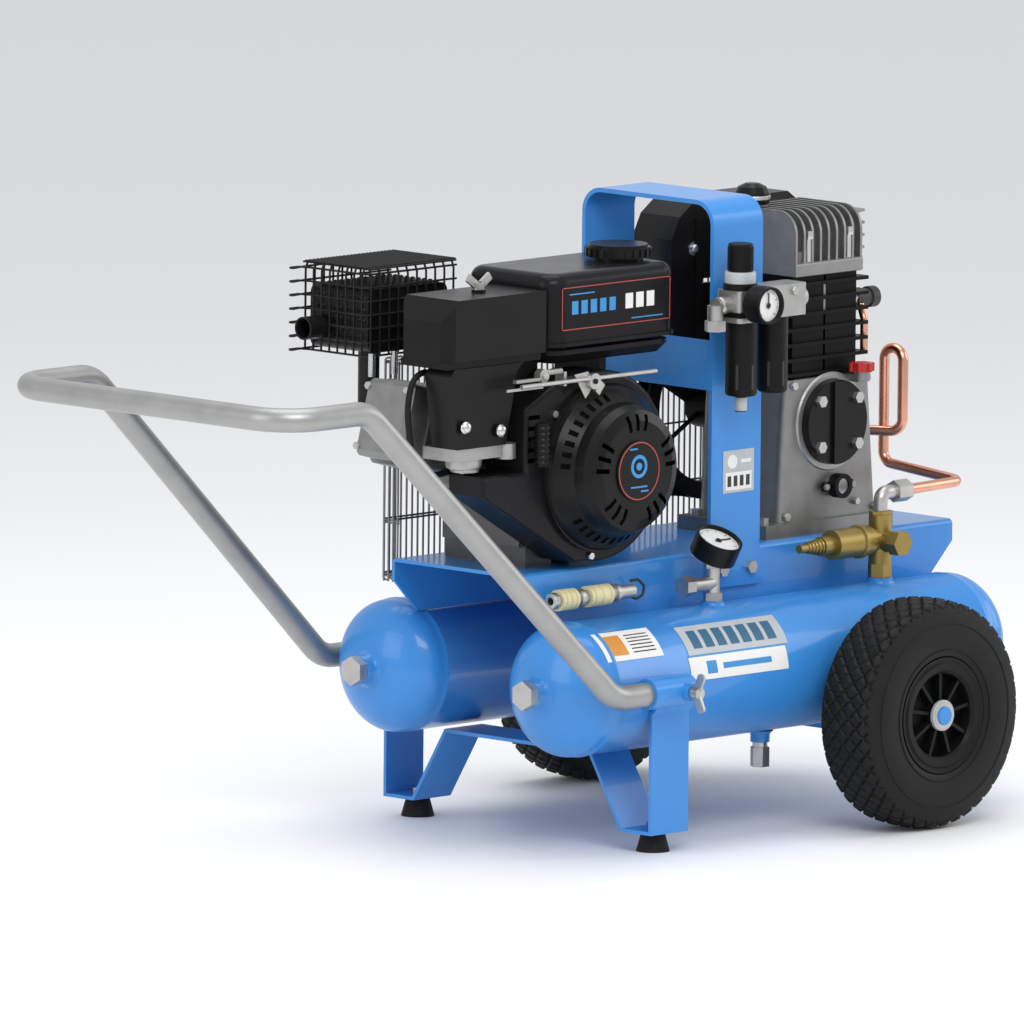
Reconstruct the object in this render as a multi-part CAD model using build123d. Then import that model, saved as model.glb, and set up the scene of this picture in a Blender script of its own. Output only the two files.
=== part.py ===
"""Wheelbarrow air compressor: petrol engine, belt-driven twin-cylinder pump and two air tanks.

Millimetres. +X points at the wheels, -X at the handle, -Y is the recoil-starter side.
+Z is up and Z = 0 is the floor.
"""
from build123d import *
import math
import os

os.makedirs("parts", exist_ok=True)

# Frame and tanks
TANK_R = 75.0
TANK_WALL = 3.0
TANK_Y = 133.0
TANK_Z = 184.0
TANK_X0 = -76.0
TANK_X1 = 547.0
TANK_DOME = 45.0
BOSS_R = 16.0
PORT_R = 9.0
PLUG_AF = 29.0
GAUGE_PORT_X = 160.0
PILOT_PORT_X = 433.0
DRAIN_X = 240.0
LINK_X = 470.0

# Platform
DECK_X0 = -118.0
DECK_X1 = 591.0
DECK_Y = 97.0
DECK_Z = 313.0
DECK_T = 4.0
DECK_SKIRT_Z = 250.5

# Wheels
AXLE_X = 369.0
AXLE_Z = 130.0
AXLE_R = 10.0
WHEEL_R = 130.0
WHEEL_Y = 256.0
WHEEL_HALF = 41.0
CROWN_HALF = 27.0
RIM_R = 62.0
RUN_GAP = 0.05

# Feet
FOOT_X0 = -15.0
FOOT_X1 = 45.0
FOOT_Y = 183.0
STRAP_T = 4.0
PAD_H = 22.0

# Handle
HANDLE_R = 13.5
HANDLE_WALL = 2.0
HANDLE_Y = 227.0
GRIP_Y = 214.0
HANDLE_Z = 186.0
GRIP_Z = 538.0
GRIP_X = -603.5
ARM_X = -479.0
BEND_X = -97.0
SOCKET_X0 = -44.0
SOCKET_X1 = 22.0

# Lifting hoop
HOOP_X0 = 188.0
HOOP_X1 = 268.0
HOOP_T = 5.0
HOOP_Z = 707.0
HOOP_FOOT_Z = 270.0
HOOP_BEND = 28.0
CROSS_Z0 = 494.0
CROSS_Z1 = 550.0

# Engine
CRANK_Z = 427.0
ENGINE_Z = 335.0
CYL_TILT = 15.0
SHROUD_R = 107.0
SHROUD_Y0 = -112.0
SHROUD_Y1 = -60.0
SHAFT_R = 12.5

# Belt drive
BELT_Y0 = 106.0
BELT_Y1 = 119.0
BELT_DEPTH = 10.0
BELT_GAP = 0.3
PULLEY_R = 46.0
FLYWHEEL_R = 107.0
PUMP_X = 405.0
PUMP_Z = 439.0
HOOD_Y = 62.0
GUARD_Y = 127.0
GUARD_WIRE = 1.5

# Pump
PUMP_Y0 = -80.0
PUMP_Y1 = 50.0


def box(x0, x1, y0, y1, z0, z1):
    """Box between two corners."""
    return Pos((x0 + x1) / 2, (y0 + y1) / 2, (z0 + z1) / 2) * Box(x1 - x0, y1 - y0, z1 - z0)


def turn(axis):
    """Rotation that lays a Z-aligned solid along the named axis."""
    return {"X": Rot(0, 90, 0), "Y": Rot(-90, 0, 0), "Z": Rot(0, 0, 0)}[axis]


def place(axis, lo, hi, u, v):
    """Position of the middle of a bar along the named axis; u and v are the other two coordinates."""
    mid = (lo + hi) / 2
    return {"X": Pos(mid, u, v), "Y": Pos(u, mid, v), "Z": Pos(u, v, mid)}[axis]


def rod(axis, r, lo, hi, u, v):
    """Round bar."""
    return place(axis, lo, hi, u, v) * turn(axis) * Cylinder(r, hi - lo)


def cone(axis, r_lo, r_hi, lo, hi, u, v):
    """Tapered bar."""
    return place(axis, lo, hi, u, v) * turn(axis) * Cone(r_lo, r_hi, hi - lo)


def hexagon(axis, af, lo, hi, u, v):
    """Hexagonal bar measured across its flats."""
    sketch = RegularPolygon(af / 2, 6, major_radius=False)
    return place(axis, lo, hi, u, v) * turn(axis) * Pos(0, 0, -(hi - lo) / 2) * extrude(sketch, hi - lo)


def ring(axis, r, bore, lo, hi, u, v):
    """Round bar with a bore."""
    return rod(axis, r, lo, hi, u, v) - rod(axis, bore, lo - 1, hi + 1, u, v)


def plate_xz(points, y0, y1):
    """Flat plate drawn in X and Z, thick along Y."""
    face = make_face(Polyline(*[(x, y0, z) for x, z in points], close=True))
    return extrude(face, y1 - y0, dir=(0, 1, 0))


def plate_yz(points, x0, x1):
    """Flat plate drawn in Y and Z, thick along X."""
    face = make_face(Polyline(*[(x0, y, z) for y, z in points], close=True))
    return extrude(face, x1 - x0, dir=(1, 0, 0))


def bent_rod(points, radius, r, bore=0.0):
    """Round bar or tube along straight runs joined by tangent arcs."""
    path = FilletPolyline(*points, radius=radius)
    start = Plane(origin=path @ 0, z_dir=path % 0)
    solid = sweep(start * Circle(r), path=path)
    if bore:
        solid -= sweep(start * Circle(bore), path=path)
    return solid


def revolve_y(points, x, z):
    """Body of revolution about a Y-aligned axis from (radius, y) points."""
    face = make_face(Polyline(*[(r, y, 0) for r, y in points], close=True))
    return Pos(x, 0, z) * revolve(face, Axis.Y)


def revolve_z(points, x, y):
    """Body of revolution about a Z-aligned axis from (radius, z) points."""
    face = make_face(Polyline(*[(r, 0, z) for r, z in points], close=True))
    return Pos(x, y, 0) * revolve(face, Axis.Z)


def around_y(solid, x, z, angle):
    """Turn a solid about a Y-aligned axis."""
    return solid.rotate(Axis((x, 0, z), (0, 1, 0)), angle)


def write(name, *solids):
    """One STEP file of the sub-part's solids."""
    flat = []
    for solid in solids:
        flat.extend(solid.solids())
    export_step(Compound(label=name, children=flat), os.path.join("parts", name + ".step"))


# ---------------------------------------------------------------- frame


def tank_solid(shrink):
    """Domed cylinder, smaller all round by the shrink."""
    r = TANK_R - shrink
    dome = TANK_DOME - shrink
    left = EllipticalCenterArc((TANK_X0, 0), dome, r, start_angle=90, arc_size=90)
    right = EllipticalCenterArc((TANK_X1, 0), dome, r, start_angle=0, arc_size=90)
    side = Line((TANK_X0, r), (TANK_X1, r))
    base = Line((TANK_X0 - dome, 0), (TANK_X1 + dome, 0))
    return revolve(make_face([left, side, right, base]), Axis.X)


def tank(y):
    """Welded air tank with end bosses."""
    body = Pos(0, y, TANK_Z) * tank_solid(0)
    body += rod("X", BOSS_R, TANK_X0 - 58, TANK_X0, y, TANK_Z)
    body += rod("X", BOSS_R, TANK_X1, TANK_X1 + 58, y, TANK_Z)
    return body


def bored_tank(body, y):
    """Hollow out a tank and open its end ports."""
    body -= Pos(0, y, TANK_Z) * tank_solid(TANK_WALL)
    body -= rod("X", PORT_R, TANK_X0 - 70, TANK_X1 + 70, y, TANK_Z)
    return body


def build_tank_near():
    """Tank on the starter side with ports for the gauge, the pilot valve and the drain."""
    top = TANK_Z + TANK_R
    body = tank(-TANK_Y)
    body += rod("Z", 13, top - 6, top + 4, GAUGE_PORT_X, -TANK_Y)
    body += rod("Z", 15, top - 6, top + 6, PILOT_PORT_X, -TANK_Y)
    body += rod("Z", 11, 96, TANK_Z - TANK_R + 6, DRAIN_X, -TANK_Y)
    body = bored_tank(body, -TANK_Y)
    body -= rod("Z", 6, top - 10, top + 10, GAUGE_PORT_X, -TANK_Y)
    body -= rod("Z", 8, top - 10, top + 10, PILOT_PORT_X, -TANK_Y)
    body -= rod("Z", 6, 90, TANK_Z - TANK_R + 10, DRAIN_X, -TANK_Y)
    body -= rod("Y", 9, -TANK_Y, 0, LINK_X, TANK_Z)
    return body


def build_tank_far():
    """Tank on the drive side with a hole for the balance pipe."""
    return bored_tank(tank(TANK_Y), TANK_Y) - rod("Y", 9, 0, TANK_Y, LINK_X, TANK_Z)


def build_tank_plugs():
    """Four hexagon plugs in the tank ends, and the balance pipe between the tanks."""
    reach = TANK_Y - TANK_R + 2.5
    plugs = [ring("Y", 8.98, 7, -reach, reach, LINK_X, TANK_Z)]
    for y in (-TANK_Y, TANK_Y):
        left = hexagon("X", PLUG_AF, TANK_X0 - 70, TANK_X0 - 58, y, TANK_Z)
        plugs.append(left + rod("X", PORT_R, TANK_X0 - 58, TANK_X0 - 46, y, TANK_Z))
        right = hexagon("X", PLUG_AF, TANK_X1 + 58, TANK_X1 + 70, y, TANK_Z)
        plugs.append(right + rod("X", PORT_R, TANK_X1 + 46, TANK_X1 + 58, y, TANK_Z))
    return plugs


def build_drain_cock():
    """Drain cock with a hexagon knob, screwed up into the near tank's boss."""
    y = -TANK_Y
    knob = hexagon("Z", 19, 68, 90, DRAIN_X, y)
    stem = rod("Z", 5.95, 90, 108, DRAIN_X, y) + rod("Z", 8.5, 90, 95.5, DRAIN_X, y)
    return knob + stem - rod("Z", 2.5, 60, 112, DRAIN_X, y)


def build_platform():
    """Inverted channel that carries the machines, its skirts resting on the tanks."""
    low = DECK_SKIRT_Z
    cut = 38
    side = [(DECK_X0, DECK_Z), (DECK_X1, DECK_Z), (DECK_X1, low + cut), (DECK_X1 - cut, low)]
    side += [(DECK_X0 + cut, low), (DECK_X0, low + cut)]
    body = plate_xz(side, -DECK_Y, DECK_Y)
    body = fillet(body.edges().filter_by(Axis.X).group_by(Axis.Z)[-1], 6)
    body -= box(DECK_X0 - 5, DECK_X1 + 5, DECK_T - DECK_Y, DECK_Y - DECK_T, low - 5, DECK_Z - DECK_T)
    for x in (-45, 25):
        body -= rod("Z", 5, DECK_Z - 10, DECK_Z + 5, x, -40) + rod("Z", 5, DECK_Z - 10, DECK_Z + 5, x, 40)
    for x in (206, 252):
        body -= rod("Y", 5, -DECK_Y - 5, DECK_Y + 5, x, 290)
    return body


def handle_sockets():
    """Two clamp tubes that hold the handle's ends, each with a boss for its wing screw."""
    sockets = []
    for side in (-1, 1):
        y = side * HANDLE_Y
        body = rod("X", 17.5, SOCKET_X0, SOCKET_X1, y, HANDLE_Z)
        body += rod("Y", 10, min(y, y + side * 24), max(y, y + side * 24), 5, HANDLE_Z)
        body -= rod("X", HANDLE_R + RUN_GAP, SOCKET_X0 - 2, SOCKET_X1 + 2, y, HANDLE_Z)
        body -= rod("Y", 4.05, min(y, y + side * 30), max(y, y + side * 30), 5, HANDLE_Z)
        sockets.append(body)
    return sockets


def strap_side():
    """Outline centreline of one foot strap, from the middle of the machine out to its handle socket."""
    return [(0, 106.5), (112, 106.5), (162, 24), (206, 24), (206, 158), (219, 172)]


def build_foot_bracket():
    """Both V-shaped feet and the strap that joins them, bent from one flat bar."""
    half = strap_side()
    far = offset(Polyline(*[(y, z) for y, z in half]), STRAP_T / 2, kind=Kind.INTERSECTION)
    face = make_face(far)
    leg = Plane.YZ * face
    body = Pos(FOOT_X0, 0, 0) * extrude(leg, FOOT_X1 - FOOT_X0, dir=(1, 0, 0))
    body = body - box(FOOT_X0 - 1, FOOT_X1 + 1, -10, 0, 90, 120)
    both = body + mirror(body, Plane.XZ)
    for socket in handle_sockets():
        both += socket
    for y in (-FOOT_Y, FOOT_Y):
        both -= rod("Z", 5, 10, 40, (FOOT_X0 + FOOT_X1) / 2, y)
    return both


def build_foot_pads():
    """Rubber cone under each foot, around its screw."""
    x = (FOOT_X0 + FOOT_X1) / 2
    pads = []
    for y in (-FOOT_Y, FOOT_Y):
        pads.append(cone("Z", 19, 13, 0, PAD_H, x, y) - rod("Z", 5, 4, 30, x, y))
    return pads


def handle_points(y_low, y_top):
    """One half of the handle's centreline, from the socket end to the grip corner."""
    low = [(SOCKET_X1, y_low, HANDLE_Z), (BEND_X, y_low, HANDLE_Z)]
    return low + [(ARM_X, y_top, GRIP_Z), (GRIP_X, y_top, GRIP_Z)]


def build_handle():
    """Steel tube bent into a U: two arms and the grip bar."""
    near = handle_points(-HANDLE_Y, -GRIP_Y)
    far = handle_points(HANDLE_Y, GRIP_Y)
    return bent_rod(near + far[::-1], 48, HANDLE_R, HANDLE_R - HANDLE_WALL)


def wing_screw(side):
    """Screw with two wings that clamps one handle arm."""
    tip = side * (HANDLE_Y + HANDLE_R + 0.3)
    head = side * (HANDLE_Y + 26)
    end = side * (HANDLE_Y + 36)
    body = rod("Y", 4, min(tip, head), max(tip, head), 5, HANDLE_Z)
    body += rod("Y", 7, min(head, end), max(head, end), 5, HANDLE_Z)
    y_mid = side * (HANDLE_Y + 35)
    for sign in (-1, 1):
        wing = Pos(5, y_mid, HANDLE_Z + sign * 12) * Rot(sign * side * -25, 0, 0) * Box(3.5, 10, 20)
        body += fillet(wing.edges().filter_by(Axis.X), 3)
    return body


def build_axle_bracket():
    """Flat bar under the tanks with its ends turned up, and a stub axle in each end."""
    x0 = AXLE_X - 30
    x1 = AXLE_X + 30
    body = box(x0, x1, -206, 206, 101.5, 107.5)
    for side in (-1, 1):
        body += box(x0, x1, min(side * 201, side * 206), max(side * 201, side * 206), 101.5, 150)
        body += rod("Y", AXLE_R, min(side * 187, side * 297), max(side * 187, side * 297), AXLE_X, AXLE_Z)
    for y in (-TANK_Y, TANK_Y):
        body -= rod("X", TANK_R + 0.02, x0 - 1, x1 + 1, y, TANK_Z)
    return body


def build_axle_clips():
    """Push-on retainer and inner washer on each stub axle."""
    clips = []
    for side in (-1, 1):
        clips.append(ring("Y", 15, AXLE_R, *sorted((side * 293, side * 295)), AXLE_X, AXLE_Z))
        clips.append(ring("Y", 18, AXLE_R, *sorted((side * 206, side * 210)), AXLE_X, AXLE_Z))
    return clips


def build_rim(side):
    """Spoked rim with its hub."""
    mid = side * WHEEL_Y
    profile = [(50, 30), (RIM_R + 4, 36), (RIM_R + 4, 33), (56, 24)]
    profile += [(56, -24), (RIM_R + 4, -33), (RIM_R + 4, -36), (50, -30)]
    body = revolve_y([(r, mid + side * y) for r, y in profile], AXLE_X, AXLE_Z)
    y0, y1 = sorted((mid - side * 45, mid + side * 36))
    body += rod("Y", 17.5, y0, y1, AXLE_X, AXLE_Z)
    spoke = box(AXLE_X - 4, AXLE_X + 4, mid - 20, mid + 20, AXLE_Z + 15, AXLE_Z + 51)
    for step in range(10):
        body += around_y(spoke, AXLE_X, AXLE_Z, 36 * step)
    return body - rod("Y", AXLE_R + RUN_GAP, y0 - 1, y1 + 1, AXLE_X, AXLE_Z)


def build_tyre(side):
    """Hollow pneumatic tyre with two ring grooves in the crown and cross grooves between them."""
    mid = side * WHEEL_Y
    outer = [(RIM_R + 4, 37), (78, 40), (92, WHEEL_HALF), (108, 40), (122, 35), (WHEEL_R, CROWN_HALF)]
    outer += [(WHEEL_R, 10), (126, 9), (126, 7), (WHEEL_R, 6)]
    inner = [(RIM_R + 4, 20), (72, 28), (92, 33), (108, 32), (116, 24), (119, 6)]
    ring_outline = outer + [(r, -y) for r, y in outer[::-1]]
    hollow = inner + [(r, -y) for r, y in inner[::-1]]
    body = revolve_y([(r, mid + y) for r, y in ring_outline], AXLE_X, AXLE_Z)
    body -= revolve_y([(r, mid + y) for r, y in hollow], AXLE_X, AXLE_Z)
    return body


def build_lifting_hoop():
    """Flat bar bent into a hoop, bolted to the platform skirts, with a welded cross plate."""
    y_out = DECK_Y + 0.2 + HOOP_T
    outer = box(HOOP_X0, HOOP_X1, -y_out, y_out, HOOP_FOOT_Z, HOOP_Z)
    outer = fillet(outer.edges().filter_by(Axis.X).group_by(Axis.Z)[-1], HOOP_BEND)
    inner = box(HOOP_X0 - 1, HOOP_X1 + 1, -DECK_Y - 0.2, DECK_Y + 0.2, HOOP_FOOT_Z - 1, HOOP_Z - HOOP_T)
    inner = fillet(inner.edges().filter_by(Axis.X).group_by(Axis.Z)[-1], HOOP_BEND - HOOP_T)
    body = outer - inner
    body += box(HOOP_X0, HOOP_X0 + 4, -DECK_Y - 0.2, DECK_Y + 0.2, CROSS_Z0, CROSS_Z1)
    for x in (206, 252):
        body -= rod("Y", 5, -y_out - 5, y_out + 5, x, 290)
    return body


def bolt(axis, head_af, head_lo, head_hi, shank_lo, shank_hi, r, u, v):
    """Hexagon bolt: head between two stations, shank between two others."""
    return hexagon(axis, head_af, head_lo, head_hi, u, v) + rod(axis, r, shank_lo, shank_hi, u, v)


def build_frame_bolts():
    """Bolts of the hoop, the engine feet, the pump base and the foot pads."""
    bolts = []
    y_out = DECK_Y + 0.2 + HOOP_T
    for x in (206, 252):
        bolts.append(bolt("Y", 13, -y_out - 6, -y_out, -y_out, -80, 4.5, x, 290))
        bolts.append(bolt("Y", 13, y_out, y_out + 2.5, 80, y_out, 4.5, x, 290))
    for x in (-45, 25):
        for y in (-40, 40):
            bolts.append(bolt("Z", 13, 322, 328, 300, 322, 4.5, x, y))
    for x in (310, 496):
        for y in (-66, 36):
            bolts.append(bolt("Z", 13, 329, 336, 317, 329, 4.5, x, y))
    for y in (-FOOT_Y, FOOT_Y):
        bolts.append(bolt("Z", 13, 26, 32, 5, 26, 4.5, (FOOT_X0 + FOOT_X1) / 2, y))
    return bolts


# ---------------------------------------------------------------- engine


def tilted(solid):
    """Turn a solid drawn along -X through the crank axis up to the cylinder's tilt."""
    return around_y(solid, 0, CRANK_Z, CYL_TILT)


def build_engine_block():
    """Cast crankcase on its feet with the tilted finned cylinder."""
    case = box(-72, 78, -56, 62, ENGINE_Z, 500)
    case = fillet(case.edges().filter_by(Axis.Y), 20)
    case += rod("Y", 62, 60, 84, 0, CRANK_Z)
    for x in (-45, 25):
        case += box(x - 20, x + 20, -58, 64, DECK_Z, ENGINE_Z + 12)
    case -= box(-58, 64, -46, 52, ENGINE_Z + 12, 486)
    barrel = box(-158, -60, -40, 36, CRANK_Z - 38, CRANK_Z + 38)
    for step in range(8):
        x = -84 - 9.5 * step
        barrel += box(x - 3, x, -46, 44, CRANK_Z - 50, CRANK_Z + 50)
    head = box(-212, -158, -42, 38, CRANK_Z - 48, CRANK_Z + 48)
    head = fillet(head.edges().filter_by(Axis.X), 8)
    bore = rod("X", 34.05, -160, -40, -2, CRANK_Z)
    whole = case + tilted(barrel + head) - tilted(bore)
    for x in (-45, 25):
        for y in (-40, 40):
            whole -= rod("Z", 9.5, 321.9, ENGINE_Z + 14, x, y) + rod("Z", 5, 305, 330, x, y)
    whole -= rod("Y", SHAFT_R + RUN_GAP, -60, 90, 0, CRANK_Z)
    whole -= rod("Y", 7.05, -43, -20, -186, 514)
    return whole


def build_valve_cover():
    """Pressed cover on the cylinder head."""
    cover = box(-246, -212.1, -38, 34, CRANK_Z - 44, CRANK_Z + 44)
    cover = fillet(cover.edges().filter_by(Axis.X), 9)
    cover = chamfer(cover.faces().sort_by(Axis.X)[0].edges(), 6)
    cover -= box(-240, -212, -33, 29, CRANK_Z - 38, CRANK_Z + 38)
    return tilted(cover)


def build_engine_piston():
    """Piston part-way up the bore."""
    body = rod("X", 34, -150, -104, -2, CRANK_Z) - rod("X", 29, -144, -90, -2, CRANK_Z)
    return tilted(body)


def grooved_rim(r, x, z):
    """Solid belt wheel with one groove, its outer radius r."""
    floor = r - BELT_DEPTH - BELT_GAP
    y0 = BELT_Y0 - BELT_GAP
    y1 = BELT_Y1 + BELT_GAP
    outline = [(0, y0 - 4), (r, y0 - 4), (r, y0), (floor, y0), (floor, y1), (r, y1), (r, y1 + 3), (0, y1 + 3)]
    return revolve_y(outline, x, z)


def build_crankshaft():
    """Crankshaft with its two webs and pin, and the keyed drive pulley."""
    body = rod("Y", SHAFT_R, -100, -24, 0, CRANK_Z) + rod("Y", SHAFT_R, 20, 124, 0, CRANK_Z)
    for y0, y1 in ((-24, -14), (10, 20)):
        web = rod("Y", 34, y0, y1, 0, CRANK_Z) & box(-34, 34, y0, y1, CRANK_Z - 40, CRANK_Z + 12)
        body += web + rod("Y", 16, y0, y1, 0, CRANK_Z + 24) + box(-16, 16, y0, y1, CRANK_Z, CRANK_Z + 24)
    body += rod("Y", 14, -14, 10, 0, CRANK_Z + 24)
    return body + grooved_rim(PULLEY_R, 0, CRANK_Z)


def build_fan_wheel():
    """Flywheel with cooling blades inside the shroud."""
    body = rod("Y", 84, -74, -64, 0, CRANK_Z) + rod("Y", 24, -98, -64, 0, CRANK_Z)
    blade = box(-2, 2, -96, -74, CRANK_Z + 50, CRANK_Z + 83)
    for step in range(16):
        body += around_y(blade, 0, CRANK_Z, 22.5 * step)
    return body - rod("Y", SHAFT_R, -110, -50, 0, CRANK_Z)


def shroud_plan(grow):
    """Side outline of the fan shroud: the fan circle and the duct toward the cylinder."""
    g = grow
    low = [(0, 322 - g), (-40, 321.5 - g), (-190 - g, 408 - g), (-190 - g, 430 + g), (-122 - g, 430 + g)]
    return low + [(-122 - g, 500 + g), (-60, 533 + g), (0, 533 + g)]


def build_shroud():
    """Glossy fan shroud: a shallow open-backed shell with the round starter opening."""
    body = plate_xz(shroud_plan(0), SHROUD_Y0, SHROUD_Y1)
    body += rod("Y", SHROUD_R, SHROUD_Y0, SHROUD_Y1, 0, CRANK_Z)
    body = fillet(body.faces().sort_by(Axis.Y)[0].edges(), 5)
    inner = plate_xz(shroud_plan(-3), SHROUD_Y0 + 3, SHROUD_Y1 + 1)
    inner += rod("Y", SHROUD_R - 3, SHROUD_Y0 + 3, SHROUD_Y1 + 1, 0, CRANK_Z)
    body -= inner
    body -= rod("Y", 86, SHROUD_Y0 - 5, SHROUD_Y1, 0, CRANK_Z)
    body += ring("Y", 96, 93.5, SHROUD_Y0 - 6, SHROUD_Y0 + 1, 0, CRANK_Z)
    body += rod("Y", 3, THROTTLE_Y - 4, SHROUD_Y0 + 1, -34, 527)
    body -= rod("Y", 4, SHROUD_Y0 - 2, SHROUD_Y0 + 6, -112, 462)
    for step in range(5):
        z = 440 + 12 * step
        body -= box(-118, -99, SHROUD_Y0 - 2, SHROUD_Y0 + 6, z, z + 5)
    return body


def build_recoil_cover():
    """Domed recoil-starter cover with groups of radial slots."""
    outline = [(0, -168), (56, -168), (68, -163), (73, -154), (75, -142)]
    outline += [(91, -124), (93, -118), (93, -112.2)]
    inside = [(90.5, -112.2), (90.5, -117), (88, -123), (72.5, -140), (70.5, -152), (66, -161), (55, -165.5)]
    body = revolve_y(outline + inside + [(0, -165.5)], 0, CRANK_Z)
    slot = box(-2.6, 2.6, -172, -150, CRANK_Z + 45, CRANK_Z + 63.5)
    for group in range(5):
        for step in (-1, 0, 1):
            body -= around_y(slot, 0, CRANK_Z, 72 * group + 14 * step)
    vent = box(-3, 3, -150, -112, CRANK_Z + 78, CRANK_Z + 85.5)
    for step in range(9):
        body -= around_y(vent, 0, CRANK_Z, -84 + 9 * step)
        body -= around_y(vent, 0, CRANK_Z, 156 + 9 * step)
    badge = rod("Y", 34, -170, -167.5, 0, CRANK_Z)
    return body + badge


def build_recoil_grip():
    """Starter grip: a T-bar on the end of its rope, which runs in through the shroud."""
    bar = rod("Z", 8, 438, 486, -112, -128)
    return bar + rod("Y", 6, -126, -114, -112, 462) + rod("Y", 2.4, -114, -66, -112, 462)


def build_fuel_tank():
    """Two-part fuel tank with a seam flange and a filler neck, on its mounting bracket."""
    upper = fillet(box(-78, 128, -108, 32, 566, 646).edges().filter_by(Axis.Z), 24)
    upper = fillet(upper.edges().group_by(Axis.Z)[-1], 14)
    lower = fillet(box(-74, 124, -104, 28, 545, 567).edges().filter_by(Axis.Z), 22)
    lower = chamfer(lower.edges().group_by(Axis.Z)[0], 10)
    seam = fillet(box(-81, 131, -111, 35, 565, 569).edges().filter_by(Axis.Z), 26)
    body = upper + lower + seam
    hollow = fillet(box(-74, 124, -104, 28, 560, 642).edges().filter_by(Axis.Z), 20)
    body -= hollow
    body += ring("Z", 28, 22, 640, 652, 88, -50)
    body -= rod("Z", 22, 636, 660, 88, -50)
    bracket = box(-50, 70, -50, 20, 500.1, 545)
    return body + bracket - box(-40, 60, -52, 22, 508, 540)


def build_fuel_cap():
    """Knurled filler cap over the neck."""
    body = rod("Z", 36, 650, 661, 88, -50) + rod("Z", 33, 661, 664, 88, -50)
    grip = box(-2.5, 2.5, 34.5, 38, 651, 660)
    for step in range(24):
        body += Pos(88, -50, 0) * grip.rotate(Axis.Z, 15 * step)
    body -= rod("Z", 28.1, 645, 652.2, 88, -50)
    return body + rod("Z", 21.95, 644, 652.4, 88, -50)


def build_air_filter_cover():
    """Box-shaped filter cover with bevelled corners."""
    body = box(-240, -84, -105, -24, 561, 630)
    body = chamfer(body.edges().filter_by(Axis.Z).sort_by(Axis.X)[:2], 12)
    body = chamfer(body.edges().group_by(Axis.Z)[-1].sort_by(Axis.X)[:1], 24, 16)
    body -= box(-228, -88, -97, -28, 560, 620)
    body += rod("Z", 8, 610, 633, -150, -64)
    return body - rod("Z", 3.05, 600, 640, -150, -64)


def build_air_duct():
    """Filter base and the tapered intake duct below it."""
    body = box(-236, -88, -101, -28, 553, 560.8)
    duct = [(-228, 553), (-118, 553), (-128, 545), (-146, 463), (-222, 463), (-234, 545)]
    body += plate_xz(duct, -104, -64)
    body -= box(-214, -152, -98, -70, 475, 600)
    for x, z in ((-214, 488), (-158, 480)):
        body += rod("Y", 6, -108, -104, x, z)
    return body + rod("Z", 3, 560, 634, -150, -64)


def build_filter_wing_nut():
    """Wing nut on the filter stud."""
    body = rod("Z", 7, 633.2, 641, -150, -64) - rod("Z", 3.05, 630, 645, -150, -64)
    for sign in (-1, 1):
        wing = Pos(-150 + sign * 11, -64, 643) * Rot(0, sign * -35, 0) * Box(16, 3.5, 9)
        body += wing
    return body


def build_carburettor():
    """Carburettor between the duct and the head, with its float bowls below."""
    body = rod("Y", 14, -63.8, -42.1, -172, 480) + box(-190, -152, -60, -48, 455, 498)
    body += box(-222, -148, -100, -50, 449, 462.8)
    body += rod("Z", 16, 434, 450, -186, -80)
    body += rod("Z", 12, 446, 463, -136, -94) + box(-150, -130, -96, -92, 452, 462)
    return body


THROTTLE_Y = -131.5


def build_throttle_lever():
    """Cast throttle lever on its pivot with the long control rod."""
    y = THROTTLE_Y
    body = rod("Y", 9, y - 2.5, y + 2.5, -34, 527) - rod("Y", 3.05, y - 5, y + 5, -34, 527)
    arm = Pos(-26, y, 519) * Rot(0, 40, 0) * Box(8, 5, 14)
    return body + arm + rod("X", 2.5, -150, -42, y, 530) + rod("X", 2.5, -27, 66, y, 530)


def build_muffler():
    """Pressed muffler box with its outlet, bolted to the head by a short exhaust pipe."""
    body = fillet(box(-198, -72, 60, 150, 553, 624).edges().filter_by(Axis.Y), 10)
    body -= box(-195, -75, 63, 147, 556, 621)
    body += ring("X", 13, 11, -232, -196.5, 128, 578)
    body -= rod("X", 11, -240, -190, 128, 578)
    pipe = [(-178, 38.2, 476), (-178, 78, 476), (-178, 78, 555)]
    return body + bent_rod(pipe, 18, 12)


def build_muffler_guard():
    """Wire cage around the muffler: three sides and a close-set top."""
    x0, x1, y0, y1 = -208, -62, 52, 158
    w = 3
    body = box(x0, x1, y0, y1, 648, 650.5)
    for level in range(7):
        z = 549 + 15.5 * level
        body += box(x0, x0 + w, y0, y1, z, z + w)
        body += box(x0, x1, y0, y0 + w, z, z + w)
        body += box(x0, x1, y1 - w, y1, z, z + w)
    for step in range(9):
        x = x0 + 8 + 16 * step
        for y in (y0, y1 - w):
            body += box(x, x + w, y, y + w, 549, 650)
    for step in range(8):
        y = y0 + 10 + 12.5 * step
        body += box(x0, x0 + w, y, y + w, 549, 650)
    body += box(x1 - 13, x1, y0, 84, 549, 552.9)
    return body - rod("X", 14, x0 - 2, x0 + 5, 128, 578)


def build_plug_lead():
    """Spark plug with its cap and the lead that loops down to the coil."""
    body = rod("Y", 7, -43, -22, -186, 514) + rod("Y", 9, -56, -43, -186, 514)
    route = [(-186, -51, 516), (-222, -51, 545), (-242, -51, 520), (-233, -53, 436), (-150, -53, 436)]
    return body + bent_rod(route, 9, 3.5)


# ---------------------------------------------------------------- belt drive


def belt_face(grow):
    """Area inside the belt line, grown from the belt's inner side."""
    small = Pos(0, 0, 0) * Circle(PULLEY_R - BELT_DEPTH + grow)
    large = Pos(PUMP_X, -(PUMP_Z - CRANK_Z), 0) * Circle(FLYWHEEL_R - BELT_DEPTH + grow)
    return make_hull(small.edges() + large.edges())


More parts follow.
